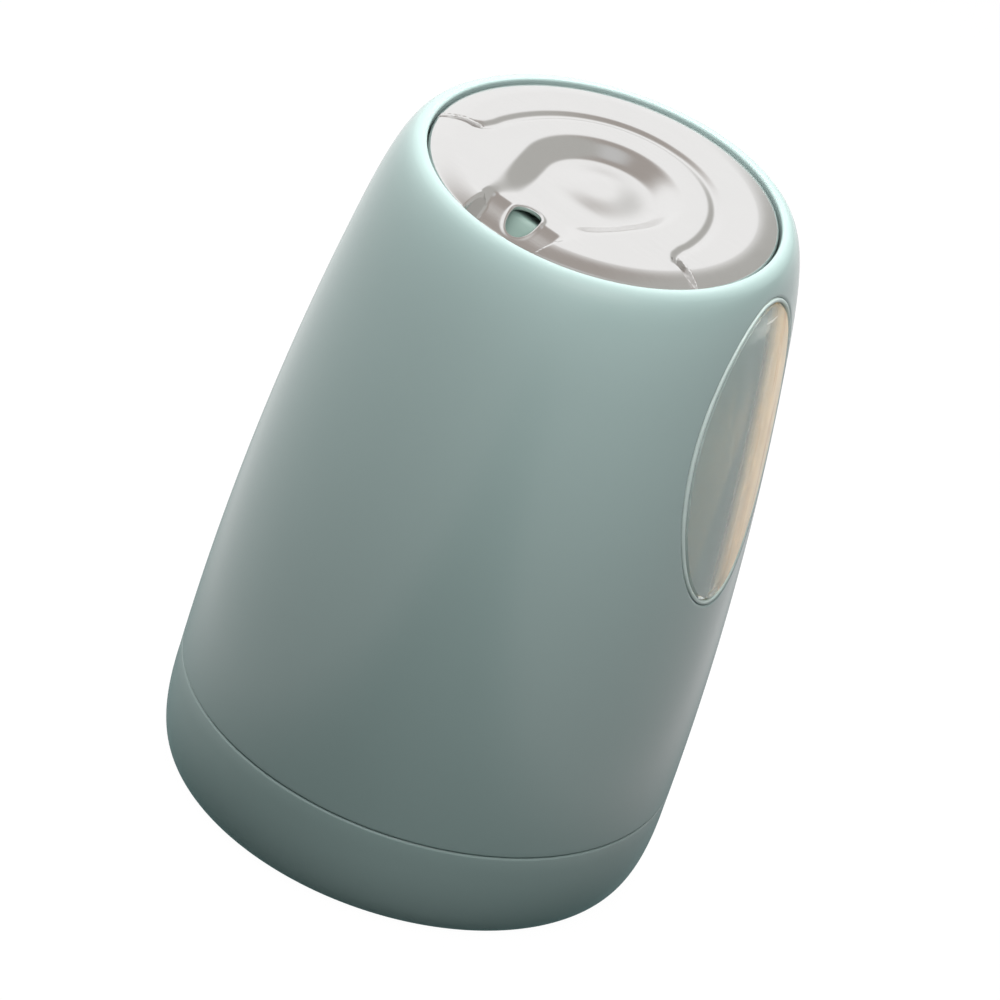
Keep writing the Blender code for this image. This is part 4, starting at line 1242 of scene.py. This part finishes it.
# ---------------------------------------------------------------- studio
@dataclass
class Studio:
    """Camera, lamps, world and floor."""

    swing: float = math.radians(29.3)
    elevation: float = math.radians(31.14)
    roll: float = math.radians(18.73)
    distance: float = 1.622
    lens: float = 432.0
    shift_right: float = 0.01428
    shift_up: float = 0.04287
    target_height: float = 0.1025
    ambient: float = 0.10
    floor_size: float = 3.0
    white: Colour = (1.0, 1.0, 1.0)
    low_light: Colour = (0.76, 1.0, 0.99)
    room: Colour = (0.41, 0.375, 0.35)
    side: Colour = (0.49, 0.485, 0.465)
    zenith: Colour = (0.62, 0.62, 0.62)

    def build_camera(self) -> None:
        """The camera, turned about its own axis as the photograph is."""
        sine, cosine = math.sin(self.swing), math.cos(self.swing)
        rise, level = math.sin(self.elevation), math.cos(self.elevation)
        back = Vector((sine * level, -cosine * level, rise))
        right = Vector((cosine, sine, 0.0))
        up = Vector((-sine * rise, cosine * rise, level))
        rolled_right = right * math.cos(self.roll) + up * math.sin(self.roll)
        rolled_up = up * math.cos(self.roll) - right * math.sin(self.roll)
        place = (Vector((0.0, 0.0, self.target_height)) + back * self.distance
                 - rolled_right * self.shift_right - rolled_up * self.shift_up)
        data = bpy.data.cameras.new("camera")
        data.lens = self.lens
        data.sensor_width = 36.0
        data.clip_end = 20.0
        camera = bpy.data.objects.new("camera", data)
        bpy.context.scene.collection.objects.link(camera)
        turn = Matrix((rolled_right, rolled_up, back)).transposed().to_4x4()
        camera.matrix_world = Matrix.Translation(place) @ turn
        bpy.context.scene.camera = camera

    def lamp(self, name: str, place: tuple[float, float, float], aim: tuple[float, float, float],
             size: tuple[float, float], power: float, colour: Colour = (1.0, 0.945, 0.935)) -> None:
        """A soft box at a place, facing its aim."""
        data = bpy.data.lights.new(name, "AREA")
        data.shape = "RECTANGLE"
        data.size, data.size_y = size
        data.energy = power
        data.color = colour
        light = bpy.data.objects.new(name, data)
        light.visible_glossy = False
        light.visible_camera = False
        bpy.context.scene.collection.objects.link(light)
        away = Vector(place) - Vector(aim)
        light.matrix_world = Matrix.Translation(place) @ away.to_track_quat("Z", "Y").to_matrix().to_4x4()

    def build_world(self) -> None:
        """White behind, a warm dark room above and in front for gloss, and a low plain light."""
        bpy.context.scene.view_settings.view_transform = "Standard"
        world = bpy.data.worlds.new("studio")
        bpy.context.scene.world = world
        web = WorldWeb(world)
        sine, cosine = math.sin(self.swing), math.cos(self.swing)
        up = web.along(Vector((0.0, 0.0, 1.0)))
        right = web.along(Vector((cosine, sine, 0.0)))
        gloss = web.mixed(web.rising(up, 0.84, 0.60), self.room, self.white)
        gloss = web.mixed(web.rising(up, 0.955, 0.995), gloss, self.zenith)
        gloss = web.mixed(web.rising(right, 0.04, 0.26), gloss, self.side)
        inner = 1.0 + web.rising(right, 0.1, 0.8) * 4.0
        plain = web.node("ShaderNodeBackground", {}, {"Color": self.low_light, "Strength": self.ambient})
        shown = web.node("ShaderNodeBackground", {}, {"Color": self.white, "Strength": 1.0})
        mirrored = web.node("ShaderNodeBackground", {}, {"Color": gloss, "Strength": 1.0})
        through = web.node("ShaderNodeBackground", {}, {"Color": self.white, "Strength": inner})
        first = web.node("ShaderNodeMixShader", {}, {0: web.rays("Camera"), 1: plain, 2: shown})
        second = web.node("ShaderNodeMixShader", {}, {0: web.rays("Glossy"), 1: first, 2: mirrored})
        last = web.node("ShaderNodeMixShader", {}, {0: web.rays("Transmission"), 1: second, 2: through})
        web.feed(web.tree.nodes["World Output"].inputs["Surface"], last)

    def build_floor(self) -> None:
        """A plain pale floor that keeps the shadow; in gloss it shows painted shade, dark grey-teal, towards
        the canister.
        """
        half = self.floor_size / 2
        mesh = bpy.data.meshes.new("floor")
        mesh.from_pydata([(-half, -half, 0), (half, -half, 0), (half, half, 0), (-half, half, 0)], [],
                         [(0, 1, 2, 3)])
        floor = bpy.data.objects.new("floor", mesh)
        bpy.context.scene.collection.objects.link(floor)
        web = Web("floor_paper")
        grain = web.noise(0.002, 3.0)
        web.shade(Base_Color=web.mixed(grain, (0.17, 0.17, 0.17), (0.19, 0.19, 0.19)), Roughness=0.9,
                  Specular_IOR_Level=0.0)
        # Glossy rays see painted shade on the floor: dark grey-teal near the canister and white further off and
        # to the sides, which darkens the canister's lower flank in its reflections.
        distance = web.node("ShaderNodeVectorMath", {"operation": "LENGTH"}, {0: web.places()}, "Value")
        sideways = web.node("ShaderNodeVectorMath", {"operation": "DOT_PRODUCT"},
                            {0: web.places(), 1: (math.cos(self.swing), math.sin(self.swing), 0.0)}, "Value")
        beside = web.rising(sideways * sideways, 0.0004, 0.005)
        share = (web.rising(distance, 0.05, 0.60) + beside).held()
        gloss_painted_shade = web.mixed(share, (0.10, 0.19, 0.19), self.white)
        paper = web.node("ShaderNodeEmission", {}, {"Color": self.white, "Strength": 1.12})
        mirrored = web.node("ShaderNodeEmission", {}, {"Color": gloss_painted_shade, "Strength": 1.0})
        plain = Socket(web, web.shader.outputs[0])
        seen = web.node("ShaderNodeMixShader", {}, {0: web.rays("Camera", "Transmission") * 0.88,
                                                    1: plain, 2: paper})
        last = web.node("ShaderNodeMixShader", {}, {0: web.rays("Glossy"), 1: seen, 2: mirrored})
        web.feed(web.tree.nodes["Material Output"].inputs["Surface"], last)
        mesh.materials.append(web.material)
        floor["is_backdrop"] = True

    def build(self) -> None:
        """The whole studio."""
        self.build_camera()
        self.build_world()
        self.build_floor()
        self.lamp("top_box", (0.0, 0.0, 0.31), (0.0, 0.0, 0.0), (0.30, 0.30), 0.62)
        self.lamp("front_box", (0.092, -0.108, 0.235), (0.0, 0.0, 0.095), (0.14, 0.14), 0.44)
        self.lamp("left_box", (-0.160, -0.040, 0.165), (0.0, 0.0, 0.070), (0.12, 0.20), 0.31)
        self.lamp("back_box", (-0.070, 0.130, 0.230), (0.0, 0.0, 0.100), (0.16, 0.16), 1.00)


def main() -> None:
    """Builds the pieces in order, then the studio."""
    logging.basicConfig(level=logging.INFO, format="%(name)s: %(message)s")
    finishes = Finishes()
    outline = Outline()
    for section in (Base(outline, finishes), Picks(finishes), Housing(outline, finishes),
                    Lid(outline, finishes), KeptNodes(finishes), Studio()):
        section.build()
        LOG.info("%s built", type(section).__name__)
    boxes = [[list(corner) for corner in box] for box in (CAD_BOX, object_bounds())]
    {"cad": boxes[0], "visual": boxes[1]}


if __name__ == "__main__":
    main()
